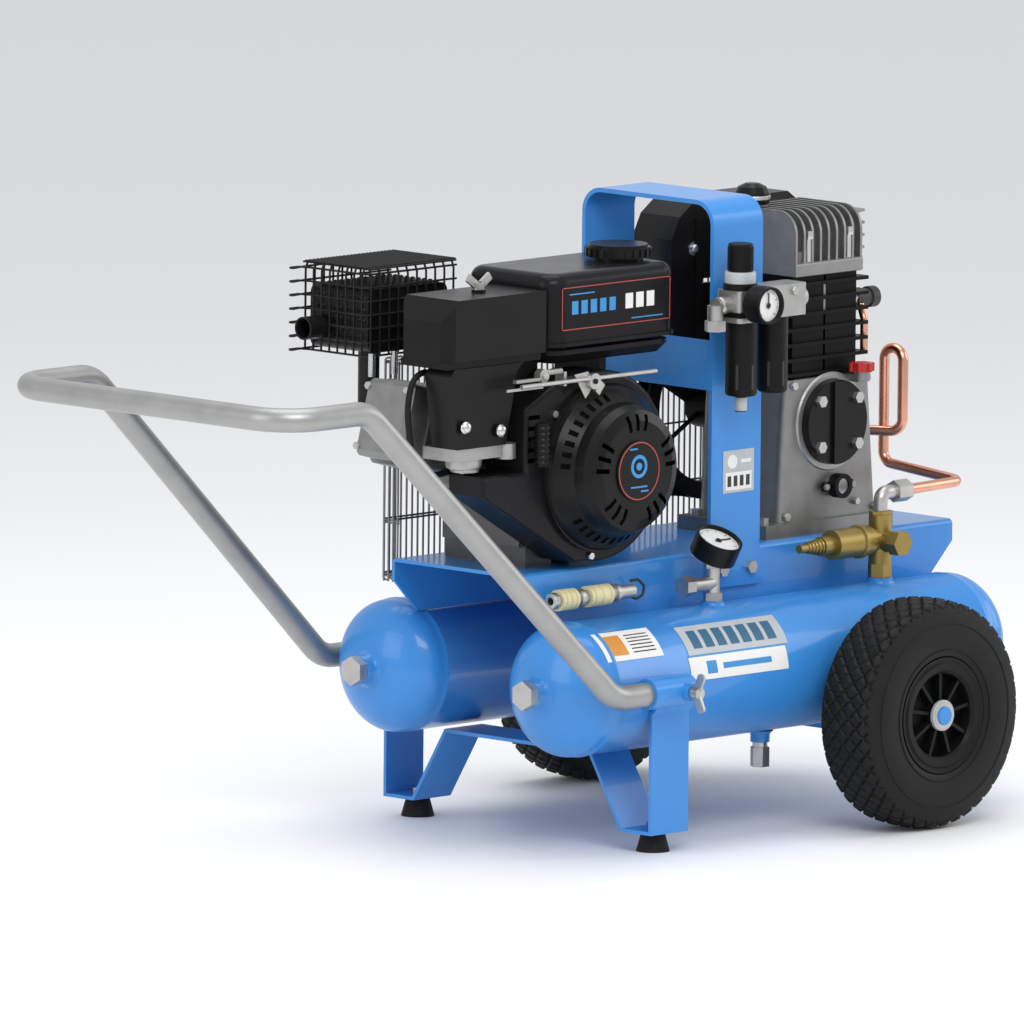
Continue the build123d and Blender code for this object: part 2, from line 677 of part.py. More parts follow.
def build_belt():
    """Drive belt as one closed band."""
    width = BELT_Y1 - BELT_Y0
    band = extrude(belt_face(8), width) - extrude(belt_face(0), width)
    return Pos(0, BELT_Y1, CRANK_Z) * Rot(90, 0, 0) * mirror(band, Plane.XZ)


def build_pump_flywheel():
    """Grooved flywheel with curved fan spokes, keyed on the pump's crankshaft."""
    body = grooved_rim(FLYWHEEL_R, PUMP_X, PUMP_Z) - rod("Y", 88, 90, 130, PUMP_X, PUMP_Z)
    body += rod("Y", 26, 70, 122, PUMP_X, PUMP_Z)
    spoke = Pos(PUMP_X, 112, PUMP_Z + 58) * Rot(0, 0, 35) * Box(5, 26, 66)
    spoke = spoke & rod("Y", 89, 102, 122, PUMP_X, PUMP_Z)
    for step in range(6):
        body += around_y(spoke, PUMP_X, PUMP_Z, 60 * step)
    shaft = rod("Y", SHAFT_R, -66, 72, PUMP_X, PUMP_Z)
    shaft -= rod("Y", SHAFT_R + 1, -54, 34, PUMP_X, PUMP_Z)
    for y in (-54, -22, 2, 26):
        shaft += rod("Y", 30, y, y + 6, PUMP_X, PUMP_Z)
    shaft += rod("Y", 11, -54, -20, PUMP_X, PUMP_Z + 16) + rod("Y", 11, 4, 30, PUMP_X, PUMP_Z - 16)
    return body + shaft + rod("Y", 14, -20, 4, PUMP_X, PUMP_Z) + rod("Y", SHAFT_R, 26, 40, PUMP_X, PUMP_Z)


def hood_plan(inset):
    """Outline of the sheet hood behind the pump."""
    x0, x1 = 292 + inset, 518 - inset
    top = 681 - inset
    left = [(x0, 484), (x0, 640), (x0 + 13, top - 16), (x0 + 36, top)]
    return left + [(x1 - 36, top), (x1 - 13, top - 16), (x1, 640), (x1, 484)]


def build_guard_hood():
    """Black sheet hood over the upper half of the flywheel, open below and on the outer side."""
    body = plate_xz(hood_plan(0), HOOD_Y, GUARD_Y - 4)
    inner = hood_plan(2)
    inner[0] = (inner[0][0], 480)
    inner[-1] = (inner[-1][0], 480)
    body -= plate_xz(inner, HOOD_Y + 2, GUARD_Y)
    panel = box(330, 480, HOOD_Y - 2.5, HOOD_Y + 0.5, 500, 662)
    body += panel
    body -= box(340, 372, HOOD_Y - 5, HOOD_Y + 5, 588, 593)
    body -= box(340, 372, HOOD_Y - 5, HOOD_Y + 5, 520, 525)
    body -= box(288, 298, BELT_Y0 - 4, GUARD_Y, 500, 552)
    return body + hexagon("Y", 12, HOOD_Y - 7, HOOD_Y - 2, 362, 627)


def guard_top(x):
    """Height of the mesh guard's upper edge."""
    if x < 100:
        return 533.0
    if x > 292:
        return 600.0
    return 533.0 + (x - 100) * 67.0 / 192.0


def build_guard_mesh():
    """Wire guard over the belt: outer face, the left return and two feet on the platform skirt."""
    x0, x1 = -106.0, 530.0
    low = 286.0
    w = GUARD_WIRE
    body = None
    for z in (low + 4, 340, 395, 460, 530):
        run = bent_rod([(x1, GUARD_Y, z), (x0, GUARD_Y, z), (x0, 99, z)], 10, w)
        body = run if body is None else body + run
    body += rod("X", w, 292, x1, GUARD_Y, 597)
    for step in range(36):
        x = x0 + 12 + 17.7 * step
        body += rod("Z", w, low, guard_top(x), x, GUARD_Y)
    for y in (101, 109, 117):
        body += rod("Z", w, low, guard_top(x0), x0, y)
    for x in (60, 420):
        body += box(x - 9, x + 9, DECK_Y, GUARD_Y + 1, 288, 291)
    return body


# ---------------------------------------------------------------- pump


PUMP_CX = 402.0
BORES_Y = (-46.0, 14.0)
BORE_R = 26.0


def build_pump_crankcase():
    """Cast trapezoid crankcase on its base flange."""
    body = plate_xz([(324, 329), (486, 329), (472, 490), (333, 490)], PUMP_Y0, PUMP_Y1)
    body = fillet(body.edges().filter_by(lambda e: abs(e.center().Z - 409) < 6), 12)
    body += box(298, 506, PUMP_Y0 - 4, PUMP_Y1 + 4, DECK_Z, 329)
    body -= plate_xz([(335, 338), (475, 338), (463, 480), (342, 480)], PUMP_Y0 + 9, PUMP_Y1 - 9)
    body -= rod("Y", 38, PUMP_Y0 - 5, PUMP_Y0 + 12, PUMP_X, PUMP_Z)
    body -= rod("Y", SHAFT_R + RUN_GAP, 30, 60, PUMP_X, PUMP_Z)
    body += ring("Y", 13, 9, PUMP_Y0 - 4, PUMP_Y0 + 1, 412, 366)
    body -= rod("Y", 9, PUMP_Y0 - 5, PUMP_Y0 + 12, 412, 366)
    body += rod("Z", 10, 484, 494, 440, -95) + box(434, 446, -95, -79, 482, 490)
    body -= rod("Z", 6, 485, 500, 440, -95)
    for y in BORES_Y:
        body -= rod("Z", BORE_R + 1, 470, 495, PUMP_CX, y)
    for x in (310, 496):
        for y in (-66, 36):
            body -= rod("Z", 5, 300, 335, x, y)
    return body


def build_bearing_cover():
    """Round cover with a raised rib over the front bearing."""
    body = rod("Y", 48, PUMP_Y0 - 12, PUMP_Y0, PUMP_X, PUMP_Z)
    body += rod("Y", 37.9, PUMP_Y0, PUMP_Y0 + 8, PUMP_X, PUMP_Z)
    body = body + box(PUMP_X - 9, PUMP_X + 9, PUMP_Y0 - 16, PUMP_Y0 - 8, PUMP_Z - 46, PUMP_Z + 46)
    body -= rod("Y", SHAFT_R + RUN_GAP, PUMP_Y0 - 6, PUMP_Y0 + 20, PUMP_X, PUMP_Z)
    return body


def build_sight_glass():
    """Oil sight glass in its lugged bezel."""
    body = rod("Y", 14, PUMP_Y0 - 16, PUMP_Y0 - 4, 412, 366)
    body += rod("Y", 8.9, PUMP_Y0 - 4, PUMP_Y0 + 6, 412, 366)
    lugs = box(388, 436, PUMP_Y0 - 8, PUMP_Y0 - 4, 361, 371)
    return body + lugs - rod("Y", 9, PUMP_Y0 - 18, PUMP_Y0 - 12, 412, 366)


def build_oil_filler():
    """Oil filler plug with a wide grip."""
    body = rod("Z", 12, 494.2, 504, 440, -95) + rod("Z", 5.95, 486, 494.2, 440, -95)
    for step in range(6):
        body += Pos(440, -95, 499) * (Pos(0, 12, 0) * Cylinder(3, 9.6)).rotate(Axis.Z, 60 * step)
    return body


def build_pump_cylinder():
    """Black cylinder block with level fins around both bores."""
    body = box(350, 454, -72, 38, 490, 607)
    for step in range(7):
        z = 493 + 17 * step
        body += box(336, 468, PUMP_Y0 + 2, 42, z, z + 4)
    for y in BORES_Y:
        body -= rod("Z", BORE_R + 0.05, 480, 610, PUMP_CX, y)
    return body - rod("X", 8, 440, 460, 20, 613)


def build_pump_pistons():
    """Two pistons, one near the top of its stroke and one near the bottom."""
    pistons = []
    for y, z in ((BORES_Y[0], 560), (BORES_Y[1], 520)):
        outside = rod("Z", BORE_R, z, z + 38, PUMP_CX, y)
        pistons.append(outside - rod("Z", BORE_R - 5, z - 5, z + 30, PUMP_CX, y))
    return pistons


def build_pump_head():
    """Finned cylinder head: upright fins over the top and pointed fins on the wheel side."""
    body = box(346, 456, PUMP_Y0, 44, 607, 621) + box(356, 448, PUMP_Y0 + 12, 32, 620, 660)
    fin_side = [(PUMP_Y0 + 2, 620), (PUMP_Y0 + 4, 660), (PUMP_Y0 + 20, 674)]
    fin_side += [(-18, 680), (26, 674), (40, 660), (42, 620)]
    for step in range(6):
        x = 349 + 19.8 * step
        body += plate_yz(fin_side, x, x + 5)
    for step in range(4):
        z = 626 + 14 * step
        fin = [(455, -64), (488, -52), (488, 16), (455, 28)]
        face = make_face(Polyline(*[(x, y, z) for x, y in fin], close=True))
        body += extrude(face, 3, dir=(0, 0, 1))
    body += box(440, 458, -60, 24, 622, 672)
    for x in (362, 442):
        for y in (PUMP_Y0 + 12, 32):
            body -= rod("Z", 10, 621, 690, x, y) + rod("Z", 5, 600, 630, x, y)
    body -= rod("Z", 12, 640, 690, 366, 8)
    body += ring("Z", 20, 12, 640, 681, 366, 8)
    for y in BORES_Y:
        body -= rod("Z", BORE_R - 4, 600, 640, PUMP_CX, y)
    return body - rod("X", 8, 430, 470, 20, 613)


def build_pump_bolts():
    """Head bolts and bearing cover bolts."""
    bolts = []
    for x in (362, 442):
        for y in (PUMP_Y0 + 12, 32):
            bolts.append(bolt("Z", 13, 621, 634, 607, 621, 4.9, x, y))
    for dx in (-30, 30):
        for dz in (-26, 26):
            x, z = PUMP_X + dx, PUMP_Z + dz
            bolts.append(hexagon("Y", 12, PUMP_Y0 - 18, PUMP_Y0 - 12, x, z))
    return bolts


def build_intake_filter():
    """Round intake filter with a domed lid."""
    outline = [(0, 681.2), (19, 681.2), (20, 683.5), (20, 693), (16, 700.5), (8, 704.3), (0, 705)]
    return revolve_z(outline, 366, 8) + rod("Z", 11.95, 660, 682, 366, 8)


def build_pipe_fittings():
    """Steel elbows and nuts at both ends of the copper pipe."""
    low = rod("Z", 8, 340.2, 350, PILOT_PORT_X, -TANK_Y) + bent_rod(
        [(PILOT_PORT_X, -TANK_Y, 348), (PILOT_PORT_X, -TANK_Y, 360), (456, -TANK_Y, 360)], 9, 8)
    low += hexagon("X", 22, 454, 476, -TANK_Y, 360) - rod("X", 6, 466, 480, -TANK_Y, 360)
    high = hexagon("X", 20, 458.2, 474, 20, 613) + rod("X", 7.95, 446, 458.2, 20, 613)
    high += hexagon("X", 18, 474, 494, 20, 613) - rod("X", 6, 484, 500, 20, 613)
    return [low - rod("X", 6, 466, 480, -TANK_Y, 360), high - rod("X", 6, 484, 500, 20, 613)]


def build_copper_pipe():
    """Discharge pipe with its upright expansion loop."""
    route = [(467, -TANK_Y, 360), (566, -TANK_Y, 362), (566, -12, 372), (566, -12, 503), (566, -41, 503)]
    route += [(566, -41, 409), (534, 20, 409), (534, 20, 613), (485, 20, 613)]
    return bent_rod(route, 14, 5.95, 4.6)


# ---------------------------------------------------------------- air fittings


def build_pilot_valve():
    """Brass pilot valve: hexagon base, tee body, adjuster cone and end cap."""
    x, y = PILOT_PORT_X, -TANK_Y
    body = hexagon("Z", 24, 265.2, 280, x, y) + rod("Z", 7.95, 254, 266, x, y) + rod("Z", 13, 280, 336, x, y)
    body += hexagon("Z", 22, 334, 340, x, y) + rod("X", 17, 352, 412, y, 308) + rod("X", 13, 410, x, y, 308)
    body += rod("X", 11, 334, 353, y, 308) + cone("X", 5, 9, 312, 335, y, 308) + rod("X", 5, 300, 313, y, 308)
    return body + rod("Y", 12, y - 24, y, x, 306) + hexagon("Y", 26, y - 36, y - 22, x, 306)


def build_gauge_tee():
    """Steel tee that carries the tank gauge, with its side branch."""
    x, y = GAUGE_PORT_X, -TANK_Y
    body = rod("Z", 5.95, 254, 264, x, y) + hexagon("Z", 19, 263.2, 272, x, y) + rod("Z", 8, 271, 304, x, y)
    body += hexagon("Z", 18, 300, 306, x, y)
    body += rod("X", 8, 122, x, y, 283) + hexagon("X", 20, 110, 124, y, 283)
    return body


GAUGE_TILT = 28.0


def tank_gauge_frame(solid):
    """Carry a solid drawn upright at the origin to the tank gauge."""
    return Pos(GAUGE_PORT_X + 4, -TANK_Y, 322) * Rot(GAUGE_TILT, 0, 0) * solid


def build_tank_gauge():
    """Round gauge case with its dial recess, on a short stem."""
    case = Pos(0, 0, 2) * Cylinder(27, 24) - Pos(0, 0, 13) * Cylinder(24.5, 8)
    body = tank_gauge_frame(case) + rod("Z", 7, 306.2, 316, GAUGE_PORT_X, -TANK_Y)
    return body + tank_gauge_frame(Pos(0, 0, 10) * Cylinder(1.5, 3))


def build_tank_gauge_needle():
    """Pointer of the tank gauge."""
    arm = Pos(0, 0, 10.5) * (Cylinder(3.5, 1) + Pos(7, 0, 0) * Box(24, 1.6, 0.8))
    arm -= Pos(0, 0, 10) * Cylinder(1.55, 5)
    return tank_gauge_frame(arm)


COUPLER_Y = -118.0
COUPLER_Z = 283.0


def build_coupler_manifold():
    """Outlet pipe along the platform skirt with two plug-in stubs."""
    pipe = rod("X", 8, -84, 45, COUPLER_Y, COUPLER_Z) - rod("X", 4.5, -90, 22, COUPLER_Y, COUPLER_Z)
    pipe += rod("Y", 7, COUPLER_Y, -DECK_Y, 32, COUPLER_Z)
    pipe += ring("X", 10.5, 7, -44, -38, COUPLER_Y, COUPLER_Z)
    return pipe + ring("X", 10.5, 7, 14, 20, COUPLER_Y, COUPLER_Z)


def coupler_sleeve(x0, x1):
    """Knurled sliding sleeve of a quick coupler."""
    body = ring("X", 12, 8 + RUN_GAP, x0, x1, COUPLER_Y, COUPLER_Z)
    for x in (x0 + 5, (x0 + x1) / 2, x1 - 5):
        body -= ring("X", 14, 11.2, x - 1, x + 1, COUPLER_Y, COUPLER_Z)
    return body


FRL_Y = -140.0
FRL_XA = 195.0
FRL_XB = 246.0


def build_frl_body():
    """Cast filter-regulator bodies with the outlet block, inlet elbow and the bracket on the hoop."""
    body = fillet(box(172, 218, FRL_Y - 19, FRL_Y + 19, 576, 612).edges().filter_by(Axis.Z), 6)
    body += box(217, 224, FRL_Y - 12, FRL_Y + 12, 582, 606)
    body += fillet(box(223, 284, FRL_Y - 17, FRL_Y + 17, 578, 614).edges().filter_by(Axis.Z), 5)
    body += rod("X", 9, 152, 173, FRL_Y, 596)
    body += rod("X", 11, 283, 292, FRL_Y, 596) - rod("X", 5, 280, 296, FRL_Y, 596)
    body += rod("Z", 9, 570, 597, 152, FRL_Y) + hexagon("Z", 21, 568, 580, 152, FRL_Y)
    body += box(205, 240, FRL_Y + 15, -102.2, 586, 604) + rod("Z", 15, 611, 619, FRL_XA - 3, FRL_Y)
    return body + rod("Y", 6, FRL_Y - 26, FRL_Y - 18, 190, 598)


def build_frl_knob():
    """Pressure setting knob with its lock ring."""
    body = rod("Z", 14, 632, 664, FRL_XA - 3, FRL_Y) + rod("Z", 17, 619.3, 632, FRL_XA - 3, FRL_Y)
    return fillet(body.edges().group_by(Axis.Z)[-1], 2)


def build_frl_bowls():
    """Two bowls with guard slots and the drain nub under the first."""
    bowls = []
    for x, r in ((FRL_XA, 18), (FRL_XB, 17)):
        bowl = rod("Z", r, 492, 575.8, x, FRL_Y)
        bowl = fillet(bowl.edges().group_by(Axis.Z)[0], 4) - rod("Z", r - 3, 497, 580, x, FRL_Y)
        bowls.append(bowl)
    bowls[0] = bowls[0] + rod("Z", 6.5, 474, 493, FRL_XA, FRL_Y)
    bowls[1] = bowls[1] + ring("Z", 17, 14, 575.5, 577.8, FRL_XB, FRL_Y)
    return bowls


def build_frl_gauge():
    """Small gauge case on the front of the regulator."""
    case = rod("Y", 21, FRL_Y - 50, FRL_Y - 26.2, 190, 598) - rod("Y", 18.5, FRL_Y - 55, FRL_Y - 44, 190, 598)
    return case + rod("Y", 1.5, FRL_Y - 47, FRL_Y - 43, 190, 598)


def build_frl_needle():
    """Pointer of the small gauge."""
    arm = rod("Y", 3, FRL_Y - 46.5, FRL_Y - 45.5, 190, 598)
    arm += box(189.3, 190.7, FRL_Y - 46.4, FRL_Y - 45.6, 594, 612)
    return arm - rod("Y", 1.55, FRL_Y - 50, FRL_Y - 40, 190, 598)


def main():
    """Write every sub-part."""
    write("tank_near", build_tank_near())
    write("tank_far", build_tank_far())
    write("tank_plugs", *build_tank_plugs())
    write("drain_cock", build_drain_cock())
    write("platform", build_platform())
    write("foot_bracket", build_foot_bracket())
    write("foot_pads", *build_foot_pads())
    write("handle", build_handle())
    write("wing_screw_near", wing_screw(-1))
    write("wing_screw_far", wing_screw(1))
    write("axle_bracket", build_axle_bracket())
    write("rim_near", build_rim(-1))
    write("rim_far", build_rim(1))
    write("tyre_near", build_tyre(-1))
    write("tyre_far", build_tyre(1))
    write("lifting_hoop", build_lifting_hoop())
    write("bolts_and_clips", *build_frame_bolts(), *build_pump_bolts(), *build_axle_clips())
    write("engine_block", build_engine_block())
    write("valve_cover", build_valve_cover())
    write("engine_piston", build_engine_piston())
    write("crankshaft", build_crankshaft())
    write("fan_wheel", build_fan_wheel())
    write("shroud", build_shroud())
    write("recoil_cover", build_recoil_cover())
    write("recoil_grip", build_recoil_grip())
    write("fuel_tank", build_fuel_tank())
    write("fuel_cap", build_fuel_cap())
    write("air_filter_cover", build_air_filter_cover())
    write("air_duct", build_air_duct())
    write("filter_wing_nut", build_filter_wing_nut())
    write("carburettor", build_carburettor())
    write("throttle_lever", build_throttle_lever())
    write("muffler", build_muffler())
    write("muffler_guard", build_muffler_guard())
    write("plug_lead", build_plug_lead())
    write("belt", build_belt())
    write("pump_flywheel", build_pump_flywheel())
    write("guard_hood", build_guard_hood())
    write("guard_mesh", build_guard_mesh())
    write("pump_crankcase", build_pump_crankcase())
    write("bearing_cover", build_bearing_cover())
    write("sight_glass", build_sight_glass())
    write("oil_filler", build_oil_filler())
    write("pump_cylinder", build_pump_cylinder())
    write("pump_pistons", *build_pump_pistons())
    write("pump_head", build_pump_head())
    write("intake_filter", build_intake_filter())
    write("steel_fittings", build_gauge_tee(), *build_pipe_fittings())
    write("copper_pipe", build_copper_pipe())
    write("pilot_valve", build_pilot_valve())
    write("tank_gauge", build_tank_gauge())
    write("tank_gauge_needle", build_tank_gauge_needle())
    write("coupler_manifold", build_coupler_manifold())
    write("coupler_sleeve_a", coupler_sleeve(-76, -50))
    write("coupler_sleeve_b", coupler_sleeve(-30, 5))
    write("frl_body", build_frl_body())
    write("frl_knob", build_frl_knob())
    write("frl_bowls", *build_frl_bowls())
    write("frl_gauge", build_frl_gauge())
    write("frl_needle", build_frl_needle())


main()
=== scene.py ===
import bpy
import math
from mathutils import Matrix, Vector


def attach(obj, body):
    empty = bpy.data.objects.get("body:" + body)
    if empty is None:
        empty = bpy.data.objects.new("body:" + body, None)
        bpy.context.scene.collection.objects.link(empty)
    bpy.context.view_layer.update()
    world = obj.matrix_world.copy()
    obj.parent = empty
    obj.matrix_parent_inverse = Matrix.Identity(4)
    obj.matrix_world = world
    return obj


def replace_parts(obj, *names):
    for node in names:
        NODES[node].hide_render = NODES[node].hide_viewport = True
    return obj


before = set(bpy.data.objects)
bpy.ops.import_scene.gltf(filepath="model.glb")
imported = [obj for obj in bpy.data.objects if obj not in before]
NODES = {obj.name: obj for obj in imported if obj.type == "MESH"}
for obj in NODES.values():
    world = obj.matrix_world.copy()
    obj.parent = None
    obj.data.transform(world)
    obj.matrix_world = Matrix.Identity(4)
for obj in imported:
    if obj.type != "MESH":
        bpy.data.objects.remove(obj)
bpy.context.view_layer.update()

MM = 0.001
# Directions: up, and out of the side with the recoil starter.
UP, OUT_Y = (0, 0, 1), (0, -1, 0)


# ---------------------------------------------------------------- materials


def link(tree, a, b):
    tree.links.new(a, b)


DUST = (0.32, 0.31, 0.29, 1)


def material(name, color, rough, metal=0.0, coat=0.0, vary=0.06, grain=40.0, bump=0.02, fine=400.0,
             dust=0.0, spec=0.5):
    """Procedural finish: cloudy colour and roughness change, fine grain bump and a little settled dust."""
    mat = bpy.data.materials.new(name)
    mat.use_nodes = True
    tree = mat.node_tree
    shader = tree.nodes["Principled BSDF"]
    shader.inputs["Metallic"].default_value = metal
    shader.inputs["Coat Weight"].default_value = coat
    shader.inputs["Specular IOR Level"].default_value = spec
    shader.inputs["Coat Roughness"].default_value = 0.05
    coords = tree.nodes.new("ShaderNodeTexCoord")
    cloud = tree.nodes.new("ShaderNodeTexNoise")
    cloud.inputs["Scale"].default_value = grain
    cloud.inputs["Detail"].default_value = 6.0
    link(tree, coords.outputs["Object"], cloud.inputs["Vector"])
    ramp = tree.nodes.new("ShaderNodeValToRGB")
    ramp.color_ramp.elements[0].position = 0.3
    ramp.color_ramp.elements[1].position = 0.7
    ramp.color_ramp.elements[0].color = [max(0.0, c * (1 - vary)) for c in color] + [1]
    ramp.color_ramp.elements[1].color = [min(1.0, c * (1 + vary)) for c in color] + [1]
    link(tree, cloud.outputs["Fac"], ramp.inputs["Fac"])
    base = ramp.outputs["Color"]
    if dust > 0:
        geo = tree.nodes.new("ShaderNodeNewGeometry")
        split = tree.nodes.new("ShaderNodeSeparateXYZ")
        link(tree, geo.outputs["Normal"], split.inputs["Vector"])
        up = tree.nodes.new("ShaderNodeMapRange")
        up.inputs["From Min"].default_value = 0.4
        up.inputs["From Max"].default_value = 1.0
        up.inputs["To Max"].default_value = dust
        link(tree, split.outputs["Z"], up.inputs["Value"])
        patch = tree.nodes.new("ShaderNodeMath")
        patch.operation = "MULTIPLY"
        link(tree, up.outputs["Result"], patch.inputs[0])
        link(tree, cloud.outputs["Fac"], patch.inputs[1])
        mix = tree.nodes.new("ShaderNodeMix")
        mix.data_type = "RGBA"
        mix.inputs["B"].default_value = DUST
        link(tree, patch.outputs["Value"], mix.inputs["Factor"])
        link(tree, base, mix.inputs["A"])
        base = mix.outputs["Result"]
    link(tree, base, shader.inputs["Base Color"])
    spread = tree.nodes.new("ShaderNodeMapRange")
    spread.inputs["To Min"].default_value = max(0.02, rough * 0.8)
    spread.inputs["To Max"].default_value = min(1.0, rough * 1.25)
    link(tree, cloud.outputs["Fac"], spread.inputs["Value"])
    link(tree, spread.outputs["Result"], shader.inputs["Roughness"])
    speck = tree.nodes.new("ShaderNodeTexNoise")
    speck.inputs["Scale"].default_value = fine
    speck.inputs["Detail"].default_value = 3.0
    link(tree, coords.outputs["Object"], speck.inputs["Vector"])
    relief = tree.nodes.new("ShaderNodeBump")
    relief.inputs["Strength"].default_value = bump
    relief.inputs["Distance"].default_value = 0.002
    link(tree, speck.outputs["Fac"], relief.inputs["Height"])
    link(tree, relief.outputs["Normal"], shader.inputs["Normal"])
    return mat


# Finishes by short key; every colour is linear.
M = {
    "blue": material("blue_paint", (0.038, 0.235, 0.62), 0.30, coat=0.35, spec=0.3, vary=0.03, grain=9,
                     bump=0.03, fine=260),
    "zinc": material("zinc_steel", (0.50, 0.49, 0.47), 0.36, metal=0.9, vary=0.10, grain=60, bump=0.03),
    "tube": material("grey_tube", (0.36, 0.357, 0.35), 0.40, metal=0.75, vary=0.07, grain=30, bump=0.03,
                     fine=600),
    "rubber": material("rubber", (0.008, 0.008, 0.0085), 0.6, spec=0.2, vary=0.2, grain=60, bump=0.1),
    "tyre": material("tyre_rubber", (0.008, 0.008, 0.008), 0.55, spec=0.2, vary=0.25, grain=45,
                     bump=0.12, dust=0.05),
    "plastic": material("black_plastic", (0.006, 0.006, 0.0065), 0.42, spec=0.16, vary=0.15, grain=40,
                        bump=0.06, fine=900),
    "gloss": material("black_gloss", (0.010, 0.010, 0.011), 0.24, coat=0.05, spec=0.12, vary=0.12,
                      grain=14, bump=0.015),
    "satin": material("black_satin", (0.006, 0.006, 0.0065), 0.32, coat=0.06, spec=0.16, vary=0.12,
                      grain=25, bump=0.04, fine=700),
    "cast": material("cast_aluminium", (0.25, 0.25, 0.245), 0.42, metal=0.85, vary=0.10, grain=50,
                     bump=0.10, fine=700),
    "cast_lit": material("cast_bright", (0.40, 0.397, 0.385), 0.38, metal=0.8, vary=0.08, grain=50,
                         bump=0.08, fine=700),
    "iron": material("black_iron", (0.005, 0.005, 0.0055), 0.40, spec=0.1, vary=0.2, grain=50, bump=0.12,
                     fine=700),
    "sheet": material("black_sheet", (0.007, 0.007, 0.0075), 0.34, spec=0.22, vary=0.12, grain=30,
                      bump=0.04),
    "wire": material("grey_wire", (0.22, 0.22, 0.23), 0.40, metal=0.8, vary=0.12, grain=80, bump=0.05),
    "red": material("red_plastic", (0.42, 0.012, 0.012), 0.35, vary=0.08, grain=60, bump=0.04),
    "copper": material("copper", (0.72, 0.36, 0.25), 0.26, metal=1.0, vary=0.10, grain=30, bump=0.03),
    "brass": material("brass", (0.34, 0.245, 0.075), 0.40, metal=0.9, vary=0.09, grain=45, bump=0.05),
    "cream": material("cream_plastic", (0.66, 0.60, 0.34), 0.40, vary=0.08, grain=60, bump=0.05),
    "white": material("white_face", (0.74, 0.74, 0.72), 0.45, vary=0.03, grain=60, bump=0.01),
    "ink": material("dark_ink", (0.02, 0.02, 0.02), 0.5, vary=0.1, grain=60, bump=0.01),
    "chrome": material("chrome", (0.62, 0.62, 0.62), 0.24, metal=1.0, vary=0.04, grain=30, bump=0.01),
    "plate": material("label_grey", (0.42, 0.45, 0.47), 0.40, vary=0.05, grain=80, bump=0.02),
    "sky": material("label_blue", (0.03, 0.24, 0.55), 0.40, vary=0.05, grain=80, bump=0.02),
    "navy": material("label_navy", (0.012, 0.10, 0.19), 0.40, vary=0.05, grain=80, bump=0.02),
    "amber": material("label_amber", (0.62, 0.25, 0.03), 0.40, vary=0.05, grain=80, bump=0.02),
    "dark_cast": material("dark_cast", (0.10, 0.10, 0.10), 0.45, metal=0.6, vary=0.12, grain=50,
                          bump=0.10, fine=700),
    "edge": material("label_red", (0.40, 0.05, 0.05), 0.40, vary=0.05, grain=80, bump=0.02),
}

# CAD nodes by finish.
FINISH = {
    "blue": ["tank_near", "tank_far", "platform", "foot_bracket", "axle_bracket", "lifting_hoop"],
    "zinc": ["tank_plugs", "drain_cock", "bolts_and_clips", "steel_fittings", "coupler_manifold",
             "wing_screw_near", "wing_screw_far", "throttle_lever", "filter_wing_nut"],
    "tube": ["handle"],
    "rubber": ["foot_pads", "belt", "plug_lead"],
    "tyre": ["tyre_near", "tyre_far"],
    "plastic": ["rim_near", "rim_far", "recoil_grip", "frl_bowls", "frl_knob", "frl_gauge", "sight_glass"],
    "satin": ["recoil_cover", "air_filter_cover", "air_duct", "tank_gauge", "bearing_cover"],
    "gloss": ["shroud", "fuel_tank", "fuel_cap", "intake_filter"],
    "cast": ["engine_block", "valve_cover", "engine_piston", "pump_pistons", "pump_crankcase"],
    "cast_lit": ["carburettor", "pump_head", "frl_body"],
    "iron": ["crankshaft", "fan_wheel", "pump_flywheel", "pump_cylinder"],
    "sheet": ["muffler", "muffler_guard", "guard_hood"],
    "wire": ["guard_mesh"],
    "red": ["oil_filler"],
    "ink": ["tank_gauge_needle", "frl_needle"],
    "copper": ["copper_pipe"],
    "brass": ["pilot_valve"],
    "cream": ["coupler_sleeve_a", "coupler_sleeve_b"],
}


def paint(obj, key):
    obj.data.materials.clear()
    obj.data.materials.append(M[key])


for key, names in FINISH.items():
    for name in names:
        paint(NODES[name], key)


# ---------------------------------------------------------------- mesh helpers


def add_mesh(name, verts, faces, key, body="frame", smooth=True, angle=35):
    """Mesh piece from millimetre vertices."""
    mesh = bpy.data.meshes.new(name)
    mesh.from_pydata([[c * MM for c in v] for v in verts], [], faces)
    mesh.validate()
    obj = bpy.data.objects.new(name, mesh)
    bpy.context.scene.collection.objects.link(obj)
    if smooth:
        mesh.shade_smooth()
        mesh.set_sharp_from_angle(angle=math.radians(angle))
    paint(obj, key)
    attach(obj, body)
    return obj


BOX_FACES = [(0, 1, 3, 2), (4, 6, 7, 5), (0, 4, 5, 1), (2, 3, 7, 6), (0, 2, 6, 4), (1, 5, 7, 3)]


